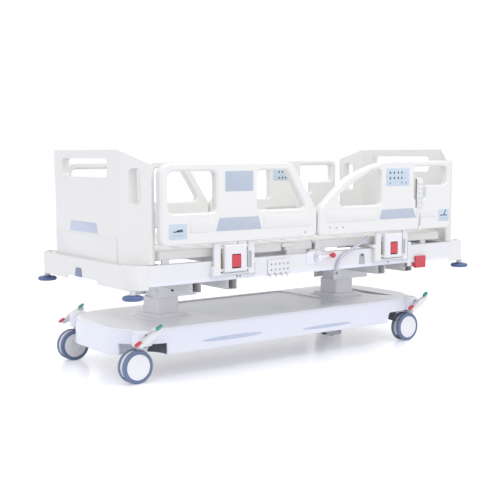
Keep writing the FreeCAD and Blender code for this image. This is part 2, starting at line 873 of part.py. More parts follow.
def bumper_pin(x, y):
    """Pin under a frame corner, with a washer above the bumper and a head below it."""
    top = Vector(x, y, beam_bottom + 1)
    foot = Vector(x, y, bumper_bottom - bumper_head)
    return [rod(bumper_pin_radius, foot, top),
            rod(bumper_washer_radius, Vector(x, y, bumper_bottom + bumper_height + 1),
                Vector(x, y, end_cover_bottom - bumper_washer_gap)),
            rod(bumper_washer_radius - 2, foot, Vector(x, y, bumper_bottom - bumper_washer_gap))]


def bumper_roller(end, side):
    """Round wall bumper that turns on its pin."""
    bore = bumper_pin_radius + running_gap
    h = bumper_height
    profile = [(bore, 0), (bumper_radius - 4, 0), (bumper_radius, 5), (bumper_radius, h - 8),
               (bumper_radius - 7, h - 3), (26, h - 3), (22, h), (bore, h)]
    return turned(profile, Vector(end * bumper_x, side * bumper_y, bumper_bottom), Vector(0, 0, 1))


def end_cover(end):
    """Shell round an end of the frame, open below and towards the deck."""
    inner = beam_foot_x if end < 0 else beam_head_x
    inner_x = abs(inner)
    points = [(inner_x, -end_cover_y), (end_outer_x, -end_cover_y),
              (end_outer_x, end_cover_y), (inner_x, end_cover_y)]
    shell = prism(points, [0, end_corner, end_corner, 0], "xy", end_cover_bottom, end_cover_top)
    w = end_wall
    inside = [(inner_x - 10, -end_cover_y + w), (end_outer_x - w, -end_cover_y + w),
              (end_outer_x - w, end_cover_y - w), (inner_x - 10, end_cover_y - w)]
    radius = end_corner - w
    shell = shell.cut(prism(inside, [0, radius, radius, 0], "xy", end_cover_bottom - 5, end_cover_top - w))
    shell = shell.cut(box(inner_x - 20, end_outer_x + 10, -end_cover_raised_y, end_cover_raised_y,
                          end_cover_bottom - 5, end_cover_bottom + end_cover_rise))
    for side in (-1, 1):
        post = Vector(board_centre_x, side * post_y, end_cover_top - 20)
        shell = shell.cut(rod(post_radius + post_gap, post, post + Vector(0, 0, 40)))
        pole = Vector(pole_x, side * pole_y, end_cover_top - 20)
        shell = shell.cut(rod(pole_bore_radius + socket_wall + 0.3, pole, pole + Vector(0, 0, 40)))
    return shell if end > 0 else mirrored_x(shell)


# Boards

def mitred(points, offset):
    """Points of a path moved sideways by an offset, with mitred bends."""
    moved_points = []
    for i, (x, y) in enumerate(points):
        before = points[max(i - 1, 0)]
        after = points[min(i + 1, len(points) - 1)]
        directions = []
        for (ax, ay), (bx, by) in ((before, (x, y)), ((x, y), after)):
            if (ax, ay) != (bx, by):
                directions.append(Vector(bx - ax, by - ay, 0).normalize())
        normals = [Vector(-d.y, d.x, 0) for d in directions]
        mean = (normals[0] + normals[-1]).normalize()
        shift = offset / mean.dot(normals[0])
        moved_points.append((x + mean.x * shift, y + mean.y * shift))
    return moved_points


def end_board(end):
    """Head or foot board: flat centre, two angled wings, grip window and posts."""
    path = [(board_wing_x, -board_wing_y), (board_centre_x, -board_flat_y),
            (board_centre_x, board_flat_y), (board_wing_x, board_wing_y)]
    r = board_bend_radius
    t = board_half_thickness
    outer = mitred(path, -t)
    inner = mitred(path, t)
    points = outer + inner[::-1]
    radii = [6, r + t, r + t, 6, 6, r - t, r - t, 6]
    low = end_cover_top + 0.3
    plan = prism(points, radii, "xy", low, board_top)
    edge = board_wing_y + 2 * t
    front = [(-edge, low), (edge, low), (edge, board_wing_top - 10), (board_wing_y, board_wing_top),
             (board_flat_y + 6, board_top), (-board_flat_y - 6, board_top), (-board_wing_y, board_wing_top),
             (-edge, board_wing_top - 10)]
    cut_low = board_wing_x - board_cut_margin
    cut_high = end_outer_x + board_cut_margin
    board = plan.common(prism(front, [0, 0, 0, 12, 40, 40, 12, 0], "yz", cut_low, cut_high))
    window = [(-board_window_y, board_window_bottom), (board_window_y, board_window_bottom),
              (board_window_y, board_window_top), (-board_window_y, board_window_top)]
    board = board.cut(prism(window, 26, "yz", cut_low, cut_high))
    for side in (-1, 1):
        y0 = side * wing_slot_y - wing_slot_width / 2
        y1 = y0 + wing_slot_width
        slot = [(y0, wing_slot_bottom), (y1, wing_slot_bottom), (y1, wing_slot_top), (y0, wing_slot_top)]
        board = board.cut(prism(slot, 18, "yz", cut_low, cut_high))
        foot = Vector(board_centre_x, side * post_y, low - post_length)
        board = board.fuse(rod(post_radius, foot, Vector(foot.x, foot.y, low + 20)))
    board = board.removeSplitter()
    return board if end > 0 else mirrored_x(board)


# Deck

def deck_section(x0, x1, cut_corner_x):
    """Moulded deck panel with a ribbed underside and one vent slot in each cell."""
    w = deck_half_width
    points = [(x0, -w), (x1, -w), (x1, w), (x0, w)]
    if cut_corner_x is not None:
        points = cut_corner_outline(x0, x1, cut_corner_x)
    panel = prism(points, 6 if cut_corner_x is not None else 10, "xy", deck_bottom, deck_top)
    rows = max(1, round((x1 - x0) / 150))
    columns = 5
    cell_x = (x1 - x0 - deck_rim * (rows + 1)) / rows
    cell_y = (2 * w - 2 * deck_corner_y - deck_rim * (columns - 1)) / columns
    for i in range(rows):
        cx = x0 + deck_rim + i * (cell_x + deck_rim)
        for j in range(columns):
            cy = -w + deck_corner_y + j * (cell_y + deck_rim)
            panel = panel.cut(box(cx, cx + cell_x, cy, cy + cell_y, deck_bottom - 1, deck_top - deck_skin))
            sx = cx + cell_x / 2
            sy = cy + cell_y / 2
            half_x = slot_width / 2
            half_y = slot_length / 2
            slot = rounded_box(sx - half_x, sx + half_x, sy - half_y, sy + half_y,
                               deck_top - deck_skin - 1, deck_top + 1, half_x - 0.5)
            panel = panel.cut(slot)
    return panel


def cut_corner_outline(x0, x1, far_x):
    """Panel outline with the corners at its far end cut back, clear of the board's wings."""
    w = deck_half_width
    y = w - deck_corner_y
    if far_x == x1:
        x = x1 - deck_corner_x
        return [(x0, -w), (x, -w), (x1, -y), (x1, y), (x, w), (x0, w)]
    x = x0 + deck_corner_x
    return [(x, -w), (x1, -w), (x1, w), (x, w), (x0, y), (x0, -y)]


def hinge_eyes(x, z, panel):
    """Add an eye with a bore at each side of a moving panel."""
    direction = 1 if panel.BoundBox.Center.x > x else -1
    pieces = [panel]
    for side in (-1, 1):
        start = Vector(x, side * hinge_eye_in, z)
        end = Vector(x, side * hinge_eye_out, z)
        pieces.append(rod(hinge_eye_radius, start, end))
        pieces.append(box(x, x + direction * (deck_gap + 12), start.y, end.y, z - 7, min(z + 7, deck_top)))
    whole = joined(pieces)
    for side in (-1, 1):
        start = Vector(x, side * (hinge_eye_in - 1), z)
        end = Vector(x, side * (hinge_eye_out + 1), z)
        whole = whole.cut(rod(hinge_pin_radius + running_gap, start, end))
    return whole


def hinge_pins(x, z, panel):
    """Notch the corners of a panel for the next one's eyes and add the pins on side plates."""
    direction = 1 if panel.BoundBox.Center.x > x else -1
    reach = direction * 60
    pin_in = hinge_eye_in + 2
    plate_y = deck_half_width
    for side in (-1, 1):
        notch = box(x - direction * 20, x + direction * (hinge_eye_radius + 4), side * (hinge_eye_in - 2),
                    side * (deck_half_width + 1), deck_bottom - 20, deck_top + 10)
        panel = panel.cut(notch)
    pieces = [panel]
    for side in (-1, 1):
        near_x = x - direction * 10
        points = [(near_x, z - 10), (x + reach, z - 10), (x + reach, z + 8), (near_x, z + 8)]
        plate = prism(points, 5, "xz", plate_y, plate_y + hinge_plate)
        pin = rod(hinge_pin_radius, Vector(x, pin_in, z), Vector(x, plate_y + 2, z))
        side_piece = plate.fuse(pin)
        pieces.append(side_piece if side > 0 else mirrored_y(side_piece))
    return joined(pieces)


def seat_deck():
    """Fixed seat section, with the pins for the thigh section."""
    panel = deck_section(thigh_x + deck_gap, back_x - deck_gap, None)
    for side in (-1, 1):
        panel = panel.cut(box(back_x - 30, back_x, side * (hinge_eye_in - 2), side * (deck_half_width + 1),
                              deck_bottom - 20, deck_top + 10))
    return hinge_pins(thigh_x, hinge_z, panel)


def backrest_deck():
    """Backrest panel with its hinge eyes."""
    panel = deck_section(back_x + deck_gap, deck_head_x, deck_head_x)
    return hinge_eyes(back_x, hinge_z, panel)


def thigh_deck():
    """Thigh panel: eyes at the seat, pins at the knee."""
    panel = deck_section(knee_x + deck_gap, thigh_x - deck_gap, None)
    return hinge_eyes(thigh_x, hinge_z, hinge_pins(knee_x, knee_z, panel))


def calf_deck():
    """Calf panel with its hinge eyes at the knee."""
    panel = deck_section(deck_foot_x, knee_x - deck_gap, deck_foot_x)
    return hinge_eyes(knee_x, knee_z, panel)


def backrest_carriage():
    """Sliding carriage that carries the backrest hinge and draws it back as it rises."""
    foot_low = beam_bottom + beam_height + deck_seat_gap
    foot_high = deck_bottom - 4
    y_in = beam_outer_y - beam_width + 2
    plate_in = hinge_eye_out + 4
    plate_out = plate_in + 7
    pieces = [box(-12, 12, -y_in, y_in, foot_low, foot_high)]
    for side in (-1, 1):
        shoe_out = side * plate_out
        pieces.append(box(-shoe_half_length, shoe_half_length, side * y_in, shoe_out, foot_low, foot_high))
        plate = prism([(-16, foot_high - 1), (16, foot_high - 1), (12, hinge_z + 11), (-12, hinge_z + 11)],
                      [0, 0, 8, 8], "xz", plate_in, plate_out)
        pin_end = Vector(0, plate_out - 1, hinge_z)
        plate = plate.fuse(rod(hinge_pin_radius, Vector(0, hinge_eye_in + 2, hinge_z), pin_end))
        pieces.append(plate if side > 0 else mirrored_y(plate))
    carriage = joined(pieces)
    carriage.translate(Vector(back_x, 0, 0))
    return carriage


def mattress_keepers():
    """Wire hoop at each edge of the thigh section."""
    hoops = []
    for side in (-1, 1):
        y = side * keeper_y
        corners = [Vector(keeper_low_x, y, deck_top), Vector(keeper_low_x, y, keeper_top),
                   Vector(keeper_high_x, y, keeper_top), Vector(keeper_high_x, y, deck_top)]
        pieces = [rod(keeper_radius, a, b) for a, b in zip(corners, corners[1:])]
        pieces += [Part.makeSphere(keeper_radius, corner) for corner in corners[1:3]]
        hoops.append(joined(pieces))
    return Part.makeCompound(hoops)


def section_frame(x_near, x_far, crosses):
    """Flat tubes under a deck section: cross tubes, with long tubes fitted between them."""
    low = deck_bottom - section_tube
    bars = []
    for x in crosses:
        bars.append(box(x - section_cross / 2, x + section_cross / 2, -section_reach, section_reach,
                        low, deck_bottom))
    pieces = list(bars)
    for side in (-1, 1):
        y = side * section_bar_y
        long_tube = box(x_near, x_far, y - section_tube, y + section_tube, low, deck_bottom)
        pieces += long_tube.cut(bars[0].fuse(bars[1:])).Solids
    return pieces


def backrest_frame():
    """Backrest tubes with the outriggers and lugs that carry the head rails."""
    low = deck_bottom - section_tube
    inner = arm_half_span + 1.0
    outriggers = []
    for edge in (-1, 1):
        x0 = head_arm_x + edge * inner
        x1 = x0 + edge * outrigger_width
        bar = [box(x0, x1, -pivot_y - 10, pivot_y + 10, low, deck_bottom)]
        for side in (-1, 1):
            bar.append(rail_lug(x0, edge, side, deck_bottom))
        outriggers.append(joined(bar).cut(pivot_holes(head_arm_x)))
    first = back_x + section_first
    last = deck_head_x - section_last
    pieces = section_frame(first - section_cross / 2, last + section_tail, [first, last])
    long_tubes = []
    for piece in pieces:
        long_tubes += piece.cut(outriggers[0].fuse(outriggers[1])).Solids
    return Part.makeCompound(long_tubes + outriggers)


def rail_lug(x0, edge, side, top):
    """Ear beside the rail arm, hanging outside the side beam."""
    y_in = beam_outer_y + 1.0 if top > beam_bottom + beam_height else beam_outer_y
    low = lower_pivot_z - 12
    outer = pivot_y + 10
    points = [(side * y_in, low), (side * outer, low), (side * outer, top), (side * y_in, top)]
    x1 = x0 + edge * lug_thickness
    return prism(points, [3, 8, 0, 0], "yz", min(x0, x1), max(x0, x1))


def pivot_holes(arm_x):
    """Bores for the lower pivot pins on both sides of the bed."""
    reach = arm_half_span + 40
    holes = []
    for side in (-1, 1):
        start = Vector(arm_x - reach, side * pivot_y, lower_pivot_z)
        holes.append(rod(pivot_pin_radius + running_gap, start, start + Vector(2 * reach, 0, 0)))
    return Part.makeCompound(holes)


def rail_brackets_foot():
    """Lugs on the side beams for the foot rails."""
    lugs = []
    inner = arm_half_span + 1.0
    for edge in (-1, 1):
        for side in (-1, 1):
            lug = rail_lug(foot_arm_x + edge * inner, edge, side, lower_pivot_z + 40)
            lugs.append(lug.cut(pivot_holes(foot_arm_x)))
    return Part.makeCompound(lugs)


# Side rails, drawn for the near side and mirrored for the far side

def foot_rail_blank():
    """Outline and windows of a foot rail."""
    left = foot_rail_left
    right = foot_rail_right
    b = rail_bottom
    t = rail_top
    slope_low = b + 130
    slope_x = right - foot_rail_slope
    shape = [(left, b), (right, b), (right, slope_low), (slope_x, t), (left, t)]
    near_end = left + foot_window_end
    far_start = left + foot_window_start
    near = [(left + post_width, window_bottom), (near_end, window_bottom),
            (near_end, window_top), (left + post_width, window_top)]
    far = [(far_start, window_bottom), (right - foot_window_tail, window_bottom),
           (slope_x - foot_slope_inset, window_top), (far_start, window_top)]
    return shape, [34, 34, 60, 66, 56], [(near, 24), (far, [20, 16, 34, 20])]


def head_rail_blank():
    """Outline and windows of a head rail, with its swept handle."""
    left = head_rail_left
    right = head_rail_right
    b = rail_bottom
    t = rail_top
    shape = [(left, b), (right, b), (right, t), (left + 406, t), (left + 186, b + 279), (left + 4, b + 128)]
    radii = [30, 30, 34, 600, 380, 64]
    low = window_bottom
    high = window_top
    sweep = [(left + 154, low), (left + 416, low), (left + 416, high - 6),
             (left + 366, high - 6), (left + 236, low + 118), (left + 122, low + 46)]
    pocket = [(left + 643, low + 22), (left + 728, low + 22), (left + 728, low + 90),
              (right - 32, low + 90), (right - 32, high + 6), (left + 643, high + 6)]
    return shape, radii, [(sweep, [16, 18, 18, 60, 300, 20]), (pocket, [16, 16, 12, 24, 24, 16])]


def side_rail(blank, arm_x):
    """Moulded rail with softened edges and a pocket for its folding arms."""
    shape, radii, windows = blank
    inner_y = -rail_outer_y + rail_thickness
    rail = prism(shape, radii, "xz", -rail_outer_y, inner_y)
    for points, window_radii in windows:
        rail = rail.cut(prism(points, window_radii, "xz", -rail_outer_y - 1, inner_y + 1))
    rail = softened(rail, rail_edge, lambda e: e.BoundBox.YLength < 0.01)
    span = arm_half_span + 1.5
    rail = rail.cut(prism(arm_pocket(), 0, "yz", arm_x - span, arm_x + span))
    pin_reach = arm_half_span + 14
    start = Vector(arm_x - pin_reach, -pivot_y, upper_pivot_z)
    return rail.cut(rod(pivot_pin_radius + running_gap, start, start + Vector(2 * pin_reach, 0, 0)))


def near_head_rail(rail):
    """Add the handset's recess, the cord's gland and its groove to the near head rail."""
    back = -rail_outer_y + handset_recess
    recess = prism(handset_outline(handset_gap), 14 + handset_gap, "xz", -rail_outer_y - 30, back)
    groove = prism([(handset_x - 8, handset_bottom - 46), (handset_x + 16, handset_bottom - 46),
                    (handset_x + 12, handset_bottom + 10), (handset_x - 12, handset_bottom + 10)], 6,
                   "xz", -rail_outer_y - 30, back)
    gland = rounded_box(handset_x - 9, handset_x + 9, -latch_outer_y - 2, -rail_outer_y + 1,
                        cord_end_z - 18, cord_end_z, 3)
    return joined([rail.cut(recess).cut(groove), gland])


def arm_pocket():
    """Section of the wedge that the arms sweep inside the rail as it folds."""
    half = arm_boss + pocket_gap
    lean = math.radians(180 - fold_angle)
    outer = -pivot_y - half
    inner = -rail_outer_y + rail_thickness + 10
    corner_y = -pivot_y - half * math.cos(lean)
    corner_z = upper_pivot_z + half * math.sin(lean)
    top = corner_z + (inner - corner_y) / math.tan(lean)
    low = rail_bottom - 10
    return [(outer, low), (inner, low), (inner, top), (corner_y, corner_z), (outer, upper_pivot_z)]


def rail_arms(arm_x):
    """Two arms, the latch housing between them and the pivot pins."""
    y_in = -pivot_y + arm_half_thickness
    y_out = -pivot_y - arm_half_thickness
    pieces = []
    for edge in (-1, 1):
        x0 = arm_x + edge * arm_half_span
        x1 = x0 - edge * arm_plate_width
        pieces.append(box(x0, x1, y_in, y_out, lower_pivot_z, upper_pivot_z))
        for z in (lower_pivot_z, upper_pivot_z):
            pieces.append(rod(arm_boss, Vector(min(x0, x1), -pivot_y, z), Vector(max(x0, x1), -pivot_y, z)))
    half = latch_half_width
    housing = box(arm_x - half, arm_x + half, y_in, -latch_outer_y, latch_bottom, latch_top)
    housing = softened(housing, 6, lambda e: abs(e.BoundBox.Center.y + latch_outer_y) < 0.01)
    housing = housing.cut(box(arm_x - latch_window_half, arm_x + latch_window_half, -latch_outer_y - 1,
                              y_out + 5, latch_window_bottom, latch_window_top))
    housing = housing.cut(latch_pin(arm_x, latch_pin_radius + running_gap, latch_window_half + 7))
    pieces.append(housing)
    bar_half = arm_half_span - 1
    for z in (latch_bottom + 4, latch_top - 16):
        pieces.append(box(arm_x - bar_half, arm_x + bar_half, -pivot_y - 4, -pivot_y + 4, z, z + 12))
    for z in (lower_pivot_z, upper_pivot_z):
        reach = arm_half_span + lug_thickness + 3
        centre = Vector(arm_x, -pivot_y, z)
        pieces.append(rod(pivot_pin_radius, centre - Vector(reach, 0, 0), centre + Vector(reach, 0, 0)))
    return joined(pieces)


def rail_latch(arm_x):
    """Red release grip, hinged at its top in the latch housing."""
    half = latch_window_half - latch_gap
    back = -pivot_y - arm_half_thickness + 2 - latch_gap
    front = -latch_outer_y - 2
    low = latch_window_bottom + latch_gap
    high = latch_window_top - latch_gap
    points = [(back, low), (front, low + 6), (front, high - 4), (back, high)]
    grip = prism(points, [1.5, 5, 4, 1.5], "yz", arm_x - half, arm_x + half)
    return joined([grip, latch_pin(arm_x, latch_pin_radius, latch_window_half + 5)])


def latch_pin(arm_x, radius, reach):
    """Hinge pin of the release grip, or its bore."""
    y = -(pivot_y + latch_outer_y) / 2 - 1
    z = latch_window_top - 8
    return rod(radius, Vector(arm_x - reach, y, z), Vector(arm_x + reach, y, z))


# Fittings

def hook_plate(side):
    """Perforated accessory plate on the side beam."""
    y0 = side * beam_outer_y
    y1 = side * (beam_outer_y + hook_plate_thickness)
    half = hook_plate_length / 2
    points = [(hook_plate_x - half, hook_plate_bottom), (hook_plate_x + half, hook_plate_bottom),
              (hook_plate_x + half, hook_plate_top), (hook_plate_x - half, hook_plate_top)]
    plate = prism(points, 8, "xz", min(y0, y1), max(y0, y1))
    for i in range(5):
        x = hook_plate_x - 48 + i * 24
        for z in (hook_plate_bottom + 22, hook_plate_top - 22):
            plate = plate.cut(rod(5, Vector(x, y0 - side * 2, z), Vector(x, y1 + side * 2, z)))
    return plate


def cpr_bracket(side):
    """Pressed bracket that carries a quick-release handle under the beam."""
    y = side * (beam_outer_y - 14)
    bracket = box(cpr_x - 46, cpr_x - 1, y - 12, y + 12, beam_bottom - 20, beam_bottom)
    return bracket.cut(rod(cpr_pin_radius + running_gap, Vector(cpr_x - 60, y, beam_bottom - 10),
                           Vector(cpr_x + 10, y, beam_bottom - 10)))


def side_fittings():
    """Hook plates, handle brackets and the lever's boss on the side beams."""
    pieces = [hook_plate(side) for side in (-1, 1)] + [cpr_bracket(side) for side in (-1, 1)]
    seat = Vector(lockout_x, -beam_outer_y, lockout_z)
    boss = rod(lockout_radius, seat, seat - Vector(0, 12, 0))
    return Part.makeCompound(pieces + [boss.cut(lockout_pin(running_gap))])


def lockout_pin(gap):
    """Pin of the lock-out lever, or its bore."""
    start = Vector(lockout_x, -beam_outer_y, lockout_z)
    return rod(cpr_pin_radius + gap, start, start - Vector(0, 20, 0))


def lockout_lever():
    """Short lever with a ball knob, for the transport lock."""
    y_in = -beam_outer_y - 12.3
    y_out = y_in - 7
    x = lockout_x
    z = lockout_z
    hub = rod(12, Vector(x, y_in, z), Vector(x, y_out, z))
    knob_x = x + lockout_reach
    knob_z = z + 6
    arm = prism([(x, z - 6), (knob_x, knob_z - 4), (knob_x, knob_z + 4), (x, z + 6)], 0, "xz", y_out, y_in)
    knob = Part.makeSphere(lockout_knob_radius, Vector(knob_x, y_out - 4, knob_z))
    pin = rod(cpr_pin_radius, Vector(x, -beam_outer_y - 1, z), Vector(x, y_out, z))
    return joined([hub, arm, knob, pin])


def cpr_handle(side):
    """Red quick-release flag on a short pin."""
    y = side * (beam_outer_y - 14)
    pin = rod(cpr_pin_radius, Vector(cpr_x - 44, y, beam_bottom - 10), Vector(cpr_x + 6, y, beam_bottom - 10))
    outer = side * (beam_outer_y + 14)
    inner = outer - side * 9
    root = y - side * 6
    points = [(root, beam_bottom - 5), (root, beam_bottom - 20), (inner, cpr_bottom), (outer, cpr_bottom),
              (outer, cpr_top), (inner, cpr_top), (inner, beam_bottom - 5)]
    flag = prism(points, 0, "yz", cpr_x, cpr_x + cpr_length)
    return joined([pin, flag])


def control_box():
    """Control unit and battery box between the columns, under the seat."""
    return rounded_box(-190, 60, -150, 150, beam_bottom + 40, beam_bottom + 84, 12)


def handset_outline(grow):
    """Front outline of the handset, grown by a gap for its recess."""
    half = handset_width / 2 + grow
    low = handset_bottom - grow
    top = handset_bottom + handset_length + grow
    x0 = handset_x - half
    x1 = handset_x + half
    return [(x0, low), (x1, low), (x1, top), (x0, top)]


def handset():
    """Handset that stands in the recess of the near head rail."""
    back = -rail_outer_y + handset_recess
    front = back - handset_depth
    body = prism(handset_outline(0.0), 14, "xz", front, back)
    return softened(body, 3, lambda e: abs(e.BoundBox.YMin - front) < 0.01 and e.BoundBox.YLength < 0.01)


def handset_cord():
    """Short lead from the handset's foot to the gland on the rail."""
    exit_y = -rail_outer_y + handset_recess - handset_depth / 2
    y = -cord_outer_y
    z = handset_bottom
    route = [Vector(handset_x, exit_y, z), Vector(handset_x + 0.5, exit_y - 0.6, z - 19),
             Vector(handset_x + 5, y - 0.9, z - 36), Vector(handset_x + 0.3, y - 0.4, z - 68),
             Vector(handset_x, y, cord_end_z)]
    return cord_tube(route, cord_radius)


def cord_tube(route, radius):
    """Round tube along straight runs joined by the largest tangent arcs."""
    edges = []
    start = route[0]
    for before, corner, after in zip(route, route[1:], route[2:]):
        into = (before - corner)
        out = (after - corner)
        half_turn = (math.pi - into.getAngle(out)) / 2
        reach = 0.45 * min(into.Length, out.Length)
        arc_radius = reach / math.tan(half_turn)
        into.normalize()
        out.normalize()
        bisector = (into + out).normalize()
        centre = corner + bisector * (arc_radius / math.cos(half_turn))
        entry = corner + into * reach
        leave = corner + out * reach
        edges.append(Part.LineSegment(start, entry).toShape())
        edges.append(Part.Arc(entry, centre - bisector * arc_radius, leave).toShape())
        print("cord arc radius", round(arc_radius, 1))
        start = leave
    edges.append(Part.LineSegment(start, route[-1]).toShape())
    path = Part.Wire(edges)
    section = Part.Wire(Part.makeCircle(radius, route[0], route[1] - route[0]))
    return path.makePipeShell([section], True, False)


def build():
    os.makedirs("parts", exist_ok=True)
    ends = {"foot": -1, "head": 1}
    sides = {"near": -1, "far": 1}
    stems = {"foot": foot_stem_x, "head": head_stem_x}
    export("base_chassis", base_chassis())
    export("base_cover", base_cover())
    export("caster_stems", Part.makeCompound([caster_stem(x, s) for x in stems.values() for s in (-1, 1)]))
    columns = (foot_column_x, head_column_x)
    export("lift_column_bases", Part.makeCompound([lift_column_base(x) for x in columns]))
    for end, stem_x in stems.items():
        for side, sign in sides.items():
            export("caster_housing_" + end + "_" + side, caster_housing(stem_x, sign))
            export("caster_wheels_" + end + "_" + side, caster_wheels(stem_x, sign))
        export("brake_bar_" + end, brake_bar(stem_x))
        export("brake_pads_" + end, brake_pads(stem_x))
    export("brake_link", brake_link())
    inner_top = beam_bottom - cross_height - channel_wall
    for end, column_x in (("foot", foot_column_x), ("head", head_column_x)):
        export(end + "_column_middle", column_stage(column_x, 1, column_top))
        export(end + "_column_inner", column_stage(column_x, 2, inner_top))
    export("main_frame", main_frame())
    export("column_heads", Part.makeCompound([column_head(x) for x in columns]))
    for end, sign in ends.items():
        export("end_cover_" + end, end_cover(sign))
        export(end + "_board", end_board(sign))
        for side, side_sign in sides.items():
            export("bumper_" + end + "_" + side, bumper_roller(sign, side_sign))
    export("seat_deck", seat_deck())
    export("backrest_deck", backrest_deck())
    export("thigh_deck", thigh_deck())
    export("calf_deck", calf_deck())
    export("backrest_frame", backrest_frame())
    export("rail_brackets_foot", rail_brackets_foot())
    export("mattress_keepers", mattress_keepers())
    export("side_fittings", side_fittings())
    export("lockout_lever", lockout_lever())
    export("control_box", control_box())
    export("backrest_carriage", backrest_carriage())
    export("fifth_wheel_arm", fifth_wheel_arm())
    export("fifth_wheel", fifth_wheel())
    rails = {"foot": (foot_rail_blank(), foot_arm_x), "head": (head_rail_blank(), head_arm_x)}
    for end, (blank, arm_x) in rails.items():
        pieces = {"rail": side_rail(blank, arm_x), "rail_arms": rail_arms(arm_x),
                  "rail_latch": rail_latch(arm_x)}
        for name, shape in pieces.items():
            is_handset_rail = name == "rail" and end == "head"
            export(name + "_" + end + "_near", near_head_rail(shape) if is_handset_rail else shape)
            export(name + "_" + end + "_far", mirrored_y(shape))
    export("handset", handset())
    export("handset_cord", handset_cord())
    for side, sign in sides.items():
        export("cpr_handle_" + side, cpr_handle(sign))


build()
for name, shape in sorted(bodies.items()):
    print(name, round(shape.Volume / 1000.0, 1), shape.isValid())
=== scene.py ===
import json
import math
import bmesh
import bpy
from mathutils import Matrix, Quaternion, Vector


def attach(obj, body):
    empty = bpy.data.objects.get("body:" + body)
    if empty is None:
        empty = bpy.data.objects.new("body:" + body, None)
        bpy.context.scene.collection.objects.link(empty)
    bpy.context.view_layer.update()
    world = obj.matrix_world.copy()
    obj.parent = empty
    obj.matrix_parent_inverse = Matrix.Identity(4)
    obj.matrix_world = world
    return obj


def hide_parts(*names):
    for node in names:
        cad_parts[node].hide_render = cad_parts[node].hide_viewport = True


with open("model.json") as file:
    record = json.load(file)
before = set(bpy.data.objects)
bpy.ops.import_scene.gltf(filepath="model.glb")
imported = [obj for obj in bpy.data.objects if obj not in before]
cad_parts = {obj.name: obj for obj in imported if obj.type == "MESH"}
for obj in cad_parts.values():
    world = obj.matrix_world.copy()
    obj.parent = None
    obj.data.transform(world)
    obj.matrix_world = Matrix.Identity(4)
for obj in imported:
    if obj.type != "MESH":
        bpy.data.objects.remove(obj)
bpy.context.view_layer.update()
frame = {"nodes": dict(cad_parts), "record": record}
nodes = frame["nodes"]
scene = bpy.context.scene
print("frame loaded", len(nodes), "nodes")

# Near is the side towards the camera. Facings turn a piece from its own plane to that side of the bed.
sides = {"near": -1, "far": 1}
ends = {"foot": -1, "head": 1}
facings = {"near": (90, 0, 0), "far": (90, 0, 180), "foot": (90, 0, -90), "head": (90, 0, 90), "up": (0, 0, 0)}
opposite = {"near": "far", "far": "near"}


# Colours of this bed, as written on the surfaces
colours = {
    "warmWhite": (0.739, 0.735, 0.718),
    "frameWhite": (0.735, 0.735, 0.744),
    "baseLavender": (0.77, 0.785, 0.86),
    # painted light: the base's top and its panel are lighter to offset the shadow of the bed above
    "baseTopPaintedLight": (0.96, 0.96, 0.975),
    "panelBluePaintedLight": (0.88, 0.895, 0.94),
    "deckWhite": (0.735, 0.731, 0.709),
    # painted light: the grey column is given a near-white colour to offset the bed's shadow
    "columnGreyPaintedLight": (0.93, 0.915, 0.965),
    "columnWhite": (0.93, 0.93, 0.945),
    "chassisGrey": (0.11, 0.11, 0.125),
    "bumperSlate": (0.085, 0.13, 0.28),
    "coverSlate": (0.17, 0.21, 0.34),
    "wheelWhite": (0.85, 0.85, 0.86),
    "treadSlate": (0.15, 0.20, 0.33),
    "insertBlue": (0.444, 0.491, 0.564),
    "membraneBlue": (0.419, 0.483, 0.556),
    "badgeBlue": (0.479, 0.521, 0.65),
    "indicatorBlue": (0.513, 0.607, 0.684),
    "keyInk": (0.035, 0.045, 0.09),
    "gripRed": (0.55, 0.030, 0.052),
    "brakeRed": (0.62, 0.05, 0.055),
    "driveGreen": (0.045, 0.36, 0.29),
    "steel": (0.66, 0.66, 0.68),
    "hookGrey": (0.40, 0.41, 0.44),
    "conduitGrey": (0.50, 0.50, 0.58),
    "cordGrey": (0.55, 0.56, 0.62),
    # partly painted shade: the dark amber of the left arm slots is a brown strip's colour darkened as shade
    "amber": (0.22, 0.15, 0.035),
    "lipLavender": (0.76, 0.76, 0.82),
    # painted shade: the darker blue of the scoops in the base skirt
    "scoopPaintedShade": (0.52, 0.58, 0.72),
    # painted shade: dark tint inside the wheel arches, towards the bed's middle
    "linerPaintedShade": (0.10, 0.105, 0.13),
    "black": (0.012, 0.012, 0.016),
}


# Camera at the photograph's place
cameraView = {"place": (-2.996, -4.000, 1.006), "yaw": 0.629, "pitch": 0.099, "roll": -0.004, "lens": 69.5}


def addCamera():
    yaw = cameraView["yaw"]
    pitch = cameraView["pitch"]
    forward = Vector((math.sin(yaw) * math.cos(pitch), math.cos(yaw) * math.cos(pitch), -math.sin(pitch)))
    bpy.ops.object.camera_add(location=cameraView["place"])
    camera = bpy.context.object
    camera.name = "bedCamera"
    camera.data.lens = cameraView["lens"]
    camera.rotation_mode = "QUATERNION"
    turn = forward.to_track_quat("-Z", "Y")
    camera.rotation_quaternion = turn @ Quaternion((0, 0, 1), cameraView["roll"])
    camera.data.clip_end = 100
    scene.camera = camera


# Soft studio light on a pale floor
studio = {"worldStrength": 1.15, "keyPower": 12, "fillPower": 8, "topPower": 46, "lowPower": 4, "floorSize": 60,
          "floorColour": (0.90, 0.90, 0.965, 1), "floorRoughness": 0.22, "floorGlow": 0.30}


def areaLamp(name, place, target, size, power, colour):
    bpy.ops.object.light_add(type="AREA", location=place)
    lamp = bpy.context.object
    lamp.name = name
    lamp.data.shape = "RECTANGLE"
    lamp.data.size = size[0]
    lamp.data.size_y = size[1]
    lamp.data.energy = power
    lamp.data.color = colour
    lamp.rotation_euler = (Vector(target) - Vector(place)).to_track_quat("-Z", "Y").to_euler()


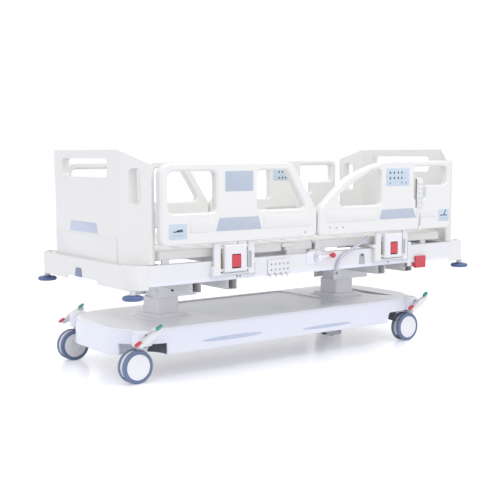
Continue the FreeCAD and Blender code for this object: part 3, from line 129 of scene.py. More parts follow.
def addWorld():
    world = bpy.data.worlds.new("studioWorld")
    scene.world = world
    world.use_nodes = True
    tree = world.node_tree
    tree.nodes.clear()
    out = tree.nodes.new("ShaderNodeOutputWorld")
    mix = tree.nodes.new("ShaderNodeMixShader")
    light = tree.nodes.new("ShaderNodeBackground")
    seen = tree.nodes.new("ShaderNodeBackground")
    path = tree.nodes.new("ShaderNodeLightPath")
    either = tree.nodes.new("ShaderNodeMath")
    either.operation = "MAXIMUM"
    light.inputs["Color"].default_value = (0.96, 0.97, 1.0, 1)
    light.inputs["Strength"].default_value = studio["worldStrength"]
    seen.inputs["Color"].default_value = (1, 1, 1, 1)
    seen.inputs["Strength"].default_value = 1.0
    tree.links.new(path.outputs["Is Camera Ray"], either.inputs[0])
    tree.links.new(path.outputs["Is Glossy Ray"], either.inputs[1])
    tree.links.new(either.outputs[0], mix.inputs[0])
    tree.links.new(light.outputs[0], mix.inputs[1])
    tree.links.new(seen.outputs[0], mix.inputs[2])
    tree.links.new(mix.outputs[0], out.inputs["Surface"])


def addLamps():
    areaLamp("keyLamp", (1.6, -4.6, 3.4), (0, 0, 0.6), (3.2, 2.4), studio["keyPower"], (1.0, 0.99, 0.97))
    areaLamp("fillLamp", (-5.0, -1.5, 2.2), (0, 0, 0.5), (2.6, 2.6), studio["fillPower"], (0.97, 0.98, 1.0))
    areaLamp("lowLamp", (-1.2, -4.8, 0.35), (0, 0, 0.3), (3.6, 0.6), studio["lowPower"], (0.98, 0.98, 1.0))
    areaLamp("topLamp", (0, -1.5, 4.2), (0, 0.4, 0.6), (3.5, 2.0), studio["topPower"], (1, 1, 1))


def addFloor():
    bpy.ops.mesh.primitive_plane_add(size=studio["floorSize"], location=(0, 0, 0))
    floor = bpy.context.object
    floor.name = "studioFloor"
    material = bpy.data.materials.new("paleFloor")
    material.use_nodes = True
    tree = material.node_tree
    skin = tree.nodes["Principled BSDF"]
    skin.inputs["Base Color"].default_value = studio["floorColour"]
    skin.inputs["Roughness"].default_value = studio["floorRoughness"]
    skin.inputs["Specular IOR Level"].default_value = 0.5
    glow = tree.nodes.new("ShaderNodeEmission")
    path = tree.nodes.new("ShaderNodeLightPath")
    either = tree.nodes.new("ShaderNodeMath")
    either.operation = "MAXIMUM"
    level = tree.nodes.new("ShaderNodeMath")
    level.operation = "MULTIPLY"
    level.inputs[1].default_value = studio["floorGlow"]
    both = tree.nodes.new("ShaderNodeAddShader")
    tree.links.new(path.outputs["Is Camera Ray"], either.inputs[0])
    tree.links.new(path.outputs["Is Glossy Ray"], either.inputs[1])
    tree.links.new(either.outputs[0], level.inputs[0])
    tree.links.new(level.outputs[0], glow.inputs["Strength"])
    tree.links.new(skin.outputs[0], both.inputs[0])
    tree.links.new(glow.outputs[0], both.inputs[1])
    tree.links.new(both.outputs[0], tree.nodes["Material Output"].inputs["Surface"])
    floor.data.materials.append(material)


scene.view_settings.view_transform = "Standard"
addCamera()
addWorld()
addLamps()
addFloor()
print("camera, lamps and floor in place")


# Finishes. Each group is one surface effect with named inputs, used by many materials.

def newGroup(name, inputs, outputs):
    group = bpy.data.node_groups.new(name, "ShaderNodeTree")
    for label, kind, value in inputs:
        socket = group.interface.new_socket(label, in_out="INPUT", socket_type=kind)
        socket.default_value = value
    for label, kind in outputs:
        group.interface.new_socket(label, in_out="OUTPUT", socket_type=kind)
    return group, group.nodes.new("NodeGroupInput"), group.nodes.new("NodeGroupOutput")


def mathNode(tree, operation, first, second):
    node = tree.nodes.new("ShaderNodeMath")
    node.operation = operation
    for slot, value in enumerate((first, second)):
        if isinstance(value, (int, float)):
            node.inputs[slot].default_value = value
        else:
            tree.links.new(value, node.inputs[slot])
    return node.outputs[0]


def objectAxes(tree):
    place = tree.nodes.new("ShaderNodeTexCoord")
    split = tree.nodes.new("ShaderNodeSeparateXYZ")
    tree.links.new(place.outputs["Object"], split.inputs[0])
    return split.outputs


def skinGroup():
    # moulded or coated surface: slow tone drift, faint specks and an orange-peel height
    group, given, made = newGroup(
        "surfaceSkin",
        [("Colour", "NodeSocketColor", (0.8, 0.8, 0.8, 1)), ("Drift", "NodeSocketFloat", 0.03),
         ("Grain Scale", "NodeSocketFloat", 600.0), ("Roughness", "NodeSocketFloat", 0.4),
         ("Roughness Spread", "NodeSocketFloat", 0.08)],
        [("Colour", "NodeSocketColor"), ("Roughness", "NodeSocketFloat"), ("Height", "NodeSocketFloat")])
    place = group.nodes.new("ShaderNodeTexCoord")
    slow = group.nodes.new("ShaderNodeTexNoise")
    slow.inputs["Scale"].default_value = 3.5
    slow.inputs["Detail"].default_value = 3
    fine = group.nodes.new("ShaderNodeTexNoise")
    fine.inputs["Detail"].default_value = 2
    smear = group.nodes.new("ShaderNodeTexNoise")
    smear.inputs["Scale"].default_value = 14
    for noise in (slow, fine, smear):
        group.links.new(place.outputs["Object"], noise.inputs["Vector"])
    group.links.new(given.outputs["Grain Scale"], fine.inputs["Scale"])
    centred = mathNode(group, "SUBTRACT", slow.outputs["Fac"], 0.5)
    shift = mathNode(group, "MULTIPLY", centred, given.outputs["Drift"])
    bright = mathNode(group, "ADD", shift, 1.0)
    tone = group.nodes.new("ShaderNodeVectorMath")
    tone.operation = "SCALE"
    group.links.new(given.outputs["Colour"], tone.inputs[0])
    group.links.new(bright, tone.inputs["Scale"])
    group.links.new(tone.outputs[0], made.inputs["Colour"])
    spread = mathNode(group, "MULTIPLY", mathNode(group, "SUBTRACT", smear.outputs["Fac"], 0.5),
                      given.outputs["Roughness Spread"])
    group.links.new(mathNode(group, "ADD", given.outputs["Roughness"], spread), made.inputs["Roughness"])
    group.links.new(fine.outputs["Fac"], made.inputs["Height"])
    return group


surfaceSkin = skinGroup()


def finish(name, colour, roughness=0.4, drift=0.03, grain=600.0, height=0.0003, metallic=0.0, coat=0.0,
           edgeRadius=0.0, spread=0.08):
    material = bpy.data.materials.new(name)
    material.use_nodes = True
    tree = material.node_tree
    skin = tree.nodes["Principled BSDF"]
    effect = tree.nodes.new("ShaderNodeGroup")
    effect.node_tree = surfaceSkin
    effect.name = "skinEffect"
    effect.inputs["Colour"].default_value = (*colours[colour], 1)
    effect.inputs["Drift"].default_value = drift
    effect.inputs["Grain Scale"].default_value = grain
    effect.inputs["Roughness"].default_value = roughness
    effect.inputs["Roughness Spread"].default_value = spread
    bump = tree.nodes.new("ShaderNodeBump")
    bump.name = "skinBump"
    bump.inputs["Strength"].default_value = 0.35
    bump.inputs["Distance"].default_value = height
    tree.links.new(effect.outputs["Colour"], skin.inputs["Base Color"])
    tree.links.new(effect.outputs["Roughness"], skin.inputs["Roughness"])
    tree.links.new(effect.outputs["Height"], bump.inputs["Height"])
    tree.links.new(bump.outputs["Normal"], skin.inputs["Normal"])
    if edgeRadius:
        rounded = tree.nodes.new("ShaderNodeBevel")
        rounded.samples = 4
        rounded.inputs["Radius"].default_value = edgeRadius
        tree.links.new(rounded.outputs["Normal"], bump.inputs["Normal"])
    skin.inputs["Metallic"].default_value = metallic
    skin.inputs["Coat Weight"].default_value = coat
    skin.inputs["Coat Roughness"].default_value = 0.15
    return material


def between(tree, value, low, high, soft):
    # a mask that is 1 from low to high, with soft edges
    rise = mathNode(tree, "DIVIDE", mathNode(tree, "SUBTRACT", value, low), soft)
    fall = mathNode(tree, "DIVIDE", mathNode(tree, "SUBTRACT", high, value), soft)
    lower = mathNode(tree, "MINIMUM", rise, fall)
    return mathNode(tree, "MINIMUM", mathNode(tree, "MAXIMUM", lower, 0.0), 1.0)


def tint(material, mask, colour):
    # lays a second colour over the finish where the mask is 1
    tree = material.node_tree
    effect = tree.nodes["skinEffect"]
    mix = tree.nodes.new("ShaderNodeMix")
    mix.data_type = "RGBA"
    tree.links.new(mask, mix.inputs["Factor"])
    before = effect.inputs["Colour"].links
    if before:
        tree.links.new(before[0].from_socket, mix.inputs["A"])
    else:
        mix.inputs["A"].default_value = effect.inputs["Colour"].default_value
    mix.inputs["B"].default_value = (*colours[colour], 1)
    tree.links.new(mix.outputs["Result"], effect.inputs["Colour"])
    return material


finishes = {
    "shell": finish("warmWhiteShell", "warmWhite", 0.36, coat=0.15, edgeRadius=0.003),
    "frame": finish("powderCoatWhite", "frameWhite", 0.42, grain=420.0, height=0.0005, edgeRadius=0.0015),
    "deck": finish("deckPanel", "deckWhite", 0.5, grain=300.0, height=0.0006, edgeRadius=0.002),
    "chassis": finish("chassisCoat", "chassisGrey", 0.5, grain=420.0, height=0.0005),
    "bumper": finish("bumperPlastic", "bumperSlate", 0.42, edgeRadius=0.002),
    "coverSlate": finish("coverInsert", "coverSlate", 0.4, edgeRadius=0.001),
    "insert": finish("railInsert", "insertBlue", 0.38, edgeRadius=0.0006),
    "membrane": finish("membraneFilm", "membraneBlue", 0.3, coat=0.2, grain=900.0, height=0.0001),
    "badge": finish("badgeBlank", "badgeBlue", 0.34, coat=0.2),
    "indicator": finish("indicatorFilm", "indicatorBlue", 0.32, coat=0.2),
    "ink": finish("keyPrint", "keyInk", 0.4),
    "black": finish("blackRubberAndShadow", "black", 0.5),
    "red": finish("gripRed", "gripRed", 0.3, coat=0.4, edgeRadius=0.0015),
    "steel": finish("brushedSteel", "steel", 0.3, metallic=1.0, drift=0.08, spread=0.2, edgeRadius=0.0008),
    "hook": finish("hookCasting", "hookGrey", 0.38, metallic=0.6, drift=0.08, spread=0.2, edgeRadius=0.0008),
    "conduit": finish("corrugatedHose", "conduitGrey", 0.45),
    "cord": finish("cordSheath", "cordGrey", 0.55),
    "amber": finish("amberStripAndShade", "amber", 0.35, drift=0.3),
    "lip": finish("lavenderLip", "lipLavender", 0.36, edgeRadius=0.001),
    "scoop": finish("skirtScoopShade", "scoopPaintedShade", 0.34, drift=0.06),
}


# Casters: white discs inside a slate tread, seen as rings about each axle
wheelLook = {"discRadius": 0.0575, "seamRadius": 0.048, "seamWidth": 0.0012, "soft": 0.0006, "axleZ": 0.075,
             "axleX": {"foot": -0.941, "head": 0.721}}


def wheelFinish(end):
    material = finish("casterWheel_" + end, "treadSlate", 0.42, edgeRadius=0.001)
    tree = material.node_tree
    x, y, z = objectAxes(tree)
    across = mathNode(tree, "SUBTRACT", x, wheelLook["axleX"][end])
    up = mathNode(tree, "SUBTRACT", z, wheelLook["axleZ"])
    squares = mathNode(tree, "ADD", mathNode(tree, "MULTIPLY", across, across), mathNode(tree, "MULTIPLY", up, up))
    radius = mathNode(tree, "SQRT", squares, 0.0)
    disc = between(tree, radius, -1.0, wheelLook["discRadius"], wheelLook["soft"])
    seam = between(tree, radius, wheelLook["seamRadius"], wheelLook["seamRadius"] + wheelLook["seamWidth"],
                   wheelLook["soft"])
    tint(material, disc, "wheelWhite")
    return tint(material, mathNode(tree, "MULTIPLY", seam, 0.25), "treadSlate")


def padFinish(end, stemX):
    # red pad brakes and green pad drives, either side of the stem
    material = finish("brakePad_" + end, "brakeRed", 0.35, coat=0.3, edgeRadius=0.0015)
    tree = material.node_tree
    x, y, z = objectAxes(tree)
    return tint(material, between(tree, x, stemX, stemX + 1.0, 0.001), "driveGreen")


def columnFinish():
    # ribbed grey outer profile, its grey raised almost to white as painted light against the bed's shadow; white above
    # the step of the head column
    material = finish("columnProfile", "columnGreyPaintedLight", 0.36, grain=420.0, height=0.0004, edgeRadius=0.001)
    tree = material.node_tree
    x, y, z = objectAxes(tree)
    ribs = mathNode(tree, "SINE", mathNode(tree, "MULTIPLY", z, 900.0), 0.0)
    bump = tree.nodes["skinBump"]
    height = mathNode(tree, "ADD", tree.nodes["skinEffect"].outputs["Height"], ribs)
    tree.links.new(height, bump.inputs["Height"])
    upper = mathNode(tree, "MULTIPLY", between(tree, z, 0.262, 1.0, 0.001), between(tree, x, 0.0, 9.0, 0.01))
    return tint(material, upper, "columnWhite")


def baseFinish():
    # lavender shell with the cooler panel let into its top; the top and the panel are coloured lighter as painted light
    # against the shadow of the bed above
    material = finish("lavenderShell", "baseLavender", 0.30, coat=0.25, edgeRadius=0.005)
    tree = material.node_tree
    x, y, z = objectAxes(tree)
    along = between(tree, x, baseTrim["panelStart"], baseTrim["panelEnd"], 0.006)
    across = between(tree, y, -baseTrim["panelHalf"], baseTrim["panelHalf"], 0.006)
    high = between(tree, z, baseTrim["panelLow"], 1.0, 0.002)
    tint(material, between(tree, z, baseTrim["topLow"], 1.0, 0.003), "baseTopPaintedLight")
    return tint(material, mathNode(tree, "MULTIPLY", mathNode(tree, "MULTIPLY", along, across), high), "panelBluePaintedLight")


baseTrim = {"panelStart": -0.46, "panelEnd": 0.33, "panelHalf": 0.27, "panelLow": 0.2, "topLow": 0.226}


def linerFinish(end, stemX):
    # lavender at the bed's end, with painted shade towards its middle
    material = finish("archLiner_" + end, "baseLavender", 0.45)
    tree = material.node_tree
    x, y, z = objectAxes(tree)
    inboard = (stemX + 0.03, 0.0) if stemX < 0 else (0.0, stemX - 0.01)
    return tint(material, between(tree, x, inboard[0], inboard[1], 0.004), "linerPaintedShade")


def lockoutFinish():
    # red knob on a pale arm
    material = finish("lockoutLever", "gripRed", 0.3, coat=0.4, edgeRadius=0.001)
    tree = material.node_tree
    x, y, z = objectAxes(tree)
    return tint(material, between(tree, x, -1.0, 0.046, 0.001), "lipLavender")


def beamFinish():
    # powder coat with a lavender lower edge on the side beams
    material = finish("beamCoat", "frameWhite", 0.42, grain=420.0, height=0.0005, edgeRadius=0.0015)
    tree = material.node_tree
    x, y, z = objectAxes(tree)
    outboard = between(tree, mathNode(tree, "ABSOLUTE", y, 0.0), 0.44, 1.0, 0.002)
    return tint(material, mathNode(tree, "MULTIPLY", between(tree, z, 0.40, 0.459, 0.001), outboard), "lipLavender")


finishes["base"] = baseFinish()
finishes["beam"] = beamFinish()
finishes["lockout"] = lockoutFinish()
finishes["column"] = columnFinish()
finishes["columnTube"] = finish("columnTube", "columnWhite", 0.34, metallic=0.0, edgeRadius=0.001)
for end, stemX in (("foot", -0.906), ("head", 0.756)):
    finishes["wheel_" + end] = wheelFinish(end)
    finishes["pads_" + end] = padFinish(end, stemX)
    finishes["liner_" + end] = linerFinish(end, stemX)


slotFinish = {
    "white_plastic": "shell", "base_plastic": "base", "frame_paint": "frame", "column_paint": "column",
    "chassis_paint": "chassis", "deck_plastic": "deck", "wheel_plastic": "shell", "bumper_plastic": "bumper",
    "pad_plastic": "red", "release_red": "red", "steel": "steel", "cord_rubber": "cord",
}
ownFinish = {"brake_pads_foot": "pads_foot", "brake_pads_head": "pads_head", "fifth_wheel": "bumper",
             "lockout_lever": "lockout", "main_frame": "beam", "fifth_wheel_arm": "columnTube",
             "foot_column_middle": "columnTube", "foot_column_inner": "columnTube",
             "head_column_middle": "columnTube", "head_column_inner": "columnTube", "column_heads": "columnTube"}
for end in ends:
    for side in sides:
        ownFinish[f"caster_wheels_{end}_{side}"] = "wheel_" + end
slotOf = {entry["node"]: entry["material_slot"] for entry in frame["record"]["subparts"]}
bodyOf = {node: body for body, members in frame["record"]["behaviour"]["bodies"].items() for node in members}
for node, slot in slotOf.items():
    data = nodes[node].data
    data.materials.clear()
    data.materials.append(finishes[ownFinish.get(node, slotFinish[slot])])
print("carried-over pieces have their finishes")


# Modelling by hand: small steps that the pieces below share

def deselectAll():
    bpy.ops.object.select_all(action="DESELECT")


def makeActive(piece):
    deselectAll()
    piece.select_set(True)
    bpy.context.view_layer.objects.active = piece


def startEdit(piece, kind="VERT"):
    makeActive(piece)
    bpy.ops.object.mode_set(mode="EDIT")
    bpy.ops.mesh.select_mode(type=kind)
    bpy.ops.mesh.select_all(action="SELECT")


def endEdit():
    bpy.ops.mesh.select_all(action="SELECT")
    bpy.ops.mesh.normals_make_consistent(inside=False)
    bpy.ops.object.mode_set(mode="OBJECT")


def pick(piece, kind, test):
    # selects each vertex, edge or face whose corners all pass the test
    bpy.ops.mesh.select_mode(type={"verts": "VERT", "edges": "EDGE", "faces": "FACE"}[kind])
    bpy.ops.mesh.select_all(action="DESELECT")
    shape = bmesh.from_edit_mesh(piece.data)
    for part in getattr(shape, kind):
        corners = [part] if kind == "verts" else part.verts
        if all(test(corner.co) for corner in corners):
            part.select_set(True)
    shape.select_flush_mode()
    bmesh.update_edit_mesh(piece.data)


def applied(piece, kind, **settings):
    makeActive(piece)
    bpy.ops.object.modifier_add(type=kind)
    modifier = piece.modifiers[-1]
    for label, value in settings.items():
        setattr(modifier, label, value)
    bpy.ops.object.modifier_apply(modifier=modifier.name)


def seat(piece, place, facing="up"):
    piece.rotation_euler = [math.radians(turn) for turn in facings[facing]]
    piece.location = place
    makeActive(piece)
    bpy.ops.object.transform_apply(location=True, rotation=True, scale=True)
    return piece


def plate(name, width, height, thickness, topWidth=None, corner=0.004, rim=0.0006, sink=0.0004):
    # flat panel in its own plane, outward along Z, its upper edge brought in to topWidth
    deselectAll()
    bpy.ops.mesh.primitive_plane_add(size=1)
    piece = bpy.context.object
    piece.name = name
    startEdit(piece)
    bpy.ops.transform.resize(value=(width, height, 1), center_override=(0, 0, 0))
    if topWidth:
        pick(piece, "verts", lambda spot: spot.y > 0)
        bpy.ops.transform.resize(value=(topWidth / width, 1, 1), center_override=(0, 0, 0))
        bpy.ops.mesh.select_all(action="SELECT")
    bpy.ops.mesh.bevel(offset=corner, segments=5, affect="VERTICES")
    bpy.ops.mesh.select_all(action="SELECT")
    bpy.ops.transform.translate(value=(0, 0, -sink))
    bpy.ops.mesh.extrude_region_move(TRANSFORM_OT_translate={"value": (0, 0, thickness + sink)})
    top = thickness - 0.00001
    pick(piece, "edges", lambda spot: spot.z > top)
    bpy.ops.mesh.bevel(offset=rim, segments=2, affect="EDGES")
    endEdit()
    makeActive(piece)
    bpy.ops.object.shade_smooth_by_angle(angle=math.radians(35))
    return piece


def rod(name, radius, length, rim=0.001, sides=32, headRadius=None):
    # turned rod along Z from 0 to its length, with eased ends
    deselectAll()
    bpy.ops.mesh.primitive_cylinder_add(vertices=sides, radius=radius, depth=length, location=(0, 0, 0))
    piece = bpy.context.object
    piece.name = name
    startEdit(piece)
    bpy.ops.transform.translate(value=(0, 0, length / 2))
    if headRadius:
        pick(piece, "verts", lambda spot: spot.z > length * 0.9)
        scale = headRadius / radius
        bpy.ops.transform.resize(value=(scale, scale, 1), center_override=(0, 0, 0))
    pick(piece, "edges", lambda spot: spot.z > length - 0.00001)
    bpy.ops.mesh.bevel(offset=rim, segments=3, affect="EDGES")
    endEdit()
    makeActive(piece)
    bpy.ops.object.shade_smooth_by_angle(angle=math.radians(40))
    return piece


def bentRod(name, radius, points, order=3):
    # round rod or hose along a smooth curve through its given control points
    deselectAll()
    bpy.ops.curve.primitive_nurbs_path_add()
    curve = bpy.context.object
    curve.name = name
    curve.data.splines.clear()
    spline = curve.data.splines.new("NURBS")
    spline.points.add(len(points) - 1)
    for point, spot in zip(spline.points, points):
        point.co = (*spot, 1)
    spline.order_u = order
    spline.use_endpoint_u = True
    curve.data.bevel_depth = radius
    curve.data.bevel_resolution = 4
    curve.data.resolution_u = 8
    curve.data.use_fill_caps = True
    curve.data.dimensions = "3D"
    makeActive(curve)
    bpy.ops.object.convert(target="MESH")
    bpy.ops.object.shade_smooth_by_angle(angle=math.radians(40))
    return bpy.context.object


def copyOf(piece, name, shift=(0, 0, 0)):
    double = piece.copy()
    double.data = piece.data.copy()
    double.name = name
    scene.collection.objects.link(double)
    makeActive(double)
    double.location = shift
    bpy.ops.object.transform_apply(location=True, rotation=True, scale=True)
    return double


def joined(name, pieces):
    makeActive(pieces[0])
    for piece in pieces:
        piece.select_set(True)
    bpy.ops.object.join()
    pieces[0].name = name
    return pieces[0]


def mirrored(piece, name):
    # copy for the far side of the bed
    double = copyOf(piece, name)
    startEdit(double)
    bpy.ops.transform.resize(value=(1, -1, 1), center_override=(0, 0, 0))
    endEdit()
    return double


def done(piece, body, slot, material, *replaced):
    piece.data.materials.clear()
    piece.data.materials.append(finishes[material])
    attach(piece, body)
    if replaced:
        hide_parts(*replaced)
    return piece


# Moulded shells: the construction's own shape with its edges rolled over
shellEdges = {"rail": 0.0032, "board": 0.003, "cover": 0.004}


def rolledShell(node, name, edge, material):
    deselectAll()
    piece = bpy.data.objects.new(name, nodes[node].data.copy())
    scene.collection.objects.link(piece)
    startEdit(piece)
    bpy.ops.mesh.remove_doubles(threshold=0.00001)
    bpy.ops.mesh.dissolve_limited(angle_limit=math.radians(0.6))
    bpy.ops.object.mode_set(mode="OBJECT")
    applied(piece, "BEVEL", width=edge, segments=2, limit_method="ANGLE", angle_limit=math.radians(32),
            use_clamp_overlap=True, harden_normals=True)
    applied(piece, "WEIGHTED_NORMAL", keep_sharp=True, weight=80)
    return done(piece, bodyOf[node], slotOf[node], material, node)


for end in ends:
    for side in sides:
        rolledShell(f"rail_{end}_{side}", f"{end}RailShell_{side}", shellEdges["rail"], "shell")
    rolledShell(f"{end}_board", end + "BoardShell", shellEdges["board"], "shell")
    rolledShell(f"end_cover_{end}", end + "EndCover", shellEdges["cover"], "shell")
print("rails, boards and end covers rolled over")


# Rail trim, mirrored side for side: films, inserts, relief bands and small marks
railTrim = {"face": 0.485, "innerFace": 0.440, "insertThickness": 0.0012, "filmThickness": 0.0008,
            "bandThickness": 0.0016}
footTrim = {"film": (-0.4955, 0.887, 0.153, 0.090), "insert": (-0.497, 0.697, 0.250, 0.058, 0.215),
            "indicator": (-0.819, 0.6755, 0.092, 0.067)}
headTrim = {"film": (0.4875, 0.8875, 0.163, 0.089), "insert": (0.490, 0.7025, 0.257, 0.049, 0.219),
            "indicator": (0.8265, 0.682, 0.082, 0.062)}


def onRail(piece, side, x, z, inner=False):
    out = railTrim["innerFace"] if inner else railTrim["face"]
    facing = opposite[side] if inner else side
    return seat(piece, (x, sides[side] * out, z), facing)


def railFilm(name, side, end, spot, material, thickness, corner=0.006):
    x, z, width, height = spot
    piece = plate(name, width, height, thickness, corner=corner)
    return done(onRail(piece, side, x, z), f"rail_{end}_{side}", "white_plastic", material)


def railInsert(name, side, end, spot):
    x, z, width, height, topWidth = spot
    piece = plate(name, width, height, railTrim["insertThickness"], topWidth, corner=0.003)
    return done(onRail(piece, side, x, z), f"rail_{end}_{side}", "white_plastic", "insert")


relief = {"foot": ((-0.6955, 0.698, 0.123, 0.062, 0.131), (-0.2235, 0.698, 0.277, 0.062, 0.270)),
          "head": ((0.186, 0.7025, 0.330, 0.054, 0.320), (0.7015, 0.7025, 0.150, 0.054, 0.158))}
keyRows = {"columns": (-0.0532, -0.0258, 0.0016, 0.0274), "rows": (0.0229, -0.0042), "dotColumn": 0.0503,
           "footRow": (-0.055, 0.027, 0.058), "footRowZ": -0.0293}
capPlaces = {"foot": ((-0.118, 0.640),), "head": ((0.037, 0.654), (0.079, 0.650), (0.121, 0.650))}
scaleMark = {"barLength": 0.052, "barWidth": 0.0045, "tickCount": 7, "tickStep": 0.0075, "tickWidth": 0.0014}


def keyDome(name, radius, stretch, height, x, y, base):
    # low rounded key, drawn out along Y
    piece = rod(name, radius, height, rim=height * 0.45, sides=20)
    startEdit(piece)
    bpy.ops.transform.resize(value=(1, stretch, 1), center_override=(0, 0, 0))
    bpy.ops.transform.translate(value=(x, y, base))
    endEdit()
    return piece


def headKeys(name):
    # two rows of keys, a column of lamps and a short row below them
    base = railTrim["filmThickness"] - 0.0002
    keys = []
    for y in keyRows["rows"]:
        for x in keyRows["columns"]:
            keys.append(keyDome("key", 0.0042, 1.55, 0.0014, x, y, base))
        keys.append(keyDome("key", 0.0016, 1.0, 0.0009, keyRows["dotColumn"], y, base))
    for x in keyRows["footRow"]:
        keys.append(keyDome("key", 0.0032, 1.0, 0.0011, x, keyRows["footRowZ"], base))
    return joined(name, keys)


def innerKeys(name):
    base = railTrim["filmThickness"] - 0.0002
    keys = []
    for y in (0.017, -0.017):
        for x in (-0.030, -0.006, 0.018):
            keys.append(keyDome("key", 0.0045, 1.4, 0.0013, -x, y, base))
    return joined(name, keys)


def scaleBars(name, lean):
    # generic angle scale: a pointer, its base bar and a row of ticks
    base = railTrim["filmThickness"] - 0.0002
    bar = plate("bar", scaleMark["barLength"], scaleMark["barWidth"], 0.0005, corner=0.002, rim=0.0001)
    pointer = plate("bar", scaleMark["barLength"] * 0.6, scaleMark["barWidth"] * 1.3, 0.0005, corner=0.002, rim=0.0001)
    pointer.rotation_euler = (0, 0, lean)
    pointer.location = (0.008, 0.004 + 0.012 * abs(math.sin(lean)), 0)
    makeActive(pointer)
    bpy.ops.object.transform_apply(location=True, rotation=True, scale=True)
    parts = [bar, pointer]
    for count in range(scaleMark["tickCount"]):
        tick = plate("bar", scaleMark["tickWidth"], 0.005, 0.0004, corner=0.0004, rim=0.0001)
        parts.append(seat(tick, ((count - 3) * scaleMark["tickStep"], -0.016, 0)))
    whole = joined(name, parts)
    startEdit(whole)
    bpy.ops.transform.translate(value=(0, 0, base))
    endEdit()
    return whole


for side in sides:
    railFilm("footRailFilm_" + side, side, "foot", footTrim["film"], "membrane", railTrim["filmThickness"])
    railFilm("headRailFilm_" + side, side, "head", headTrim["film"], "indicator", railTrim["filmThickness"])
    railInsert("footRailInsert_" + side, side, "foot", footTrim["insert"])
    railInsert("headRailInsert_" + side, side, "head", headTrim["insert"])
    railFilm("footTiltScale_" + side, side, "foot", footTrim["indicator"], "indicator", railTrim["filmThickness"])
    railFilm("headTiltScale_" + side, side, "head", headTrim["indicator"], "indicator", railTrim["filmThickness"])
    for end, lean, trim in (("foot", 0.12, footTrim), ("head", 1.15, headTrim)):
        x, z = trim["indicator"][:2]
        marks = onRail(scaleBars(f"{end}ScaleMarks_{side}", lean), side, x, z)
        done(marks, f"rail_{end}_{side}", "bumper_plastic", "ink")
        for count, (x, z, low, height, high) in enumerate(relief[end]):
            band = plate(f"{end}Relief{count}_{side}", low, height, 0.0011, high, corner=0.008, rim=0.0008)
            done(onRail(band, side, x, z), f"rail_{end}_{side}", "white_plastic", "shell")
        for count, (x, z) in enumerate(capPlaces[end]):
            cap = rod(f"{end}RailCap{count}_{side}", 0.0045, 0.0012, rim=0.0005, sides=24)
            done(onRail(cap, side, x, z), f"rail_{end}_{side}", "steel", "hook")
    x, z = headTrim["film"][:2]
    done(onRail(headKeys("headRailKeys_" + side), side, x, z), "rail_head_" + side, "bumper_plastic", "ink")
    innerFilm = plate("innerFilm_" + side, 0.124, 0.066, railTrim["filmThickness"], corner=0.005)
    done(onRail(innerFilm, side, 0.4635, 0.886, inner=True), "rail_head_" + side, "white_plastic", "indicator")
    keys = onRail(innerKeys("innerKeys_" + side), side, 0.4635, 0.886, inner=True)
    done(keys, "rail_head_" + side, "bumper_plastic", "ink")
print("rail films, keys, scales and relief placed")


# Arms beside each latch: in each pair a dark amber slot, darkened in part as painted shade, and a worn steel slot
armSlots = {"left": {"shift": -0.070, "z": 0.522, "length": 0.090, "width": 0.010, "face": 0.4700, "material": "amber"},
            "right": {"shift": 0.086, "z": 0.532, "length": 0.078, "width": 0.015, "face": 0.4751, "material": "hook"}}
armX = {"foot": -0.516, "head": 0.462}
for end in ends:
    for side in sides:
        for hand, slot in armSlots.items():
            groove = plate(f"{end}ArmSlot_{hand}_{side}", slot["width"], slot["length"], 0.0006,
                           corner=slot["width"] * 0.46, rim=0.0001)
            seat(groove, (armX[end] + slot["shift"], sides[side] * slot["face"], slot["z"]), side)
            done(groove, f"arms_{end}_{side}", "frame_paint", slot["material"])


# Handset: a face with eight keys, and beside it a black strip as painted shadow in the mouth of its recess
handsetLook = {"x": 0.645, "face": 0.492, "z": 0.804, "width": 0.036, "height": 0.140}


def addHandset():
    face = plate("handsetFace", handsetLook["width"], handsetLook["height"], 0.0006, corner=0.008, rim=0.0003)
    seat(face, (handsetLook["x"], -handsetLook["face"], handsetLook["z"]), "near")
    done(face, "rail_head_near", "white_plastic", "shell")
    keys = []
    for row in range(5):
        for x in (-0.0085, 0.0085):
            keys.append(keyDome("key", 0.0048, 1.25, 0.0013, x, 0.045 - 0.024 * row, 0.0005))
    keypad = joined("handsetKeys", keys)
    seat(keypad, (handsetLook["x"], -handsetLook["face"], handsetLook["z"]), "near")
    done(keypad, "rail_head_near", "white_plastic", "indicator")
    # black strip beside the handset: painted shadow of its recess
    shadowStrip = plate("recessShadowStrip", 0.004, 0.150, 0.0008, corner=0.0018, rim=0.0002)
    seat(shadowStrip, (0.6195, -0.4852, 0.803), "near")
    done(shadowStrip, "rail_head_near", "bumper_plastic", "black")


# Short lead from the handset to the gland below it
lead = {"radius": 0.003, "length": 0.095,
        "route": ((0.645, -0.481, 0.726), (0.6455, -0.4816, 0.707), (0.650, -0.4894, 0.690),
                  (0.6453, -0.4889, 0.658), (0.645, -0.4885, 0.632))}


def addLead():
    deselectAll()
    bpy.ops.curve.primitive_nurbs_path_add()
    piece = bpy.context.object
    piece.name = "handsetLead"
    piece.data.splines.clear()
    spline = piece.data.splines.new("NURBS")
    spline.points.add(len(lead["route"]) - 1)
    for point, spot in zip(spline.points, lead["route"]):
        point.co = (*spot, 1)
    spline.order_u = 3
    spline.use_endpoint_u = True
    piece.data.bevel_depth = lead["radius"]
    piece.data.bevel_resolution = 5
    piece.data.resolution_u = 16
    piece.data.dimensions = "3D"
    done(piece, "rail_head_near", "cord_rubber", "cord", "handset_cord")


addHandset()
addLead()
print("handset and its lead in place")


# Boards and end covers: blank badge, lower panel and slate insert
boardTrim = {"face": 1.018, "badge": (0.014, 0.6785, 0.285, 0.046, 0.257), "panelTop": 0.648, "panelFoot": 0.462,
             "panelWidth": 0.61}


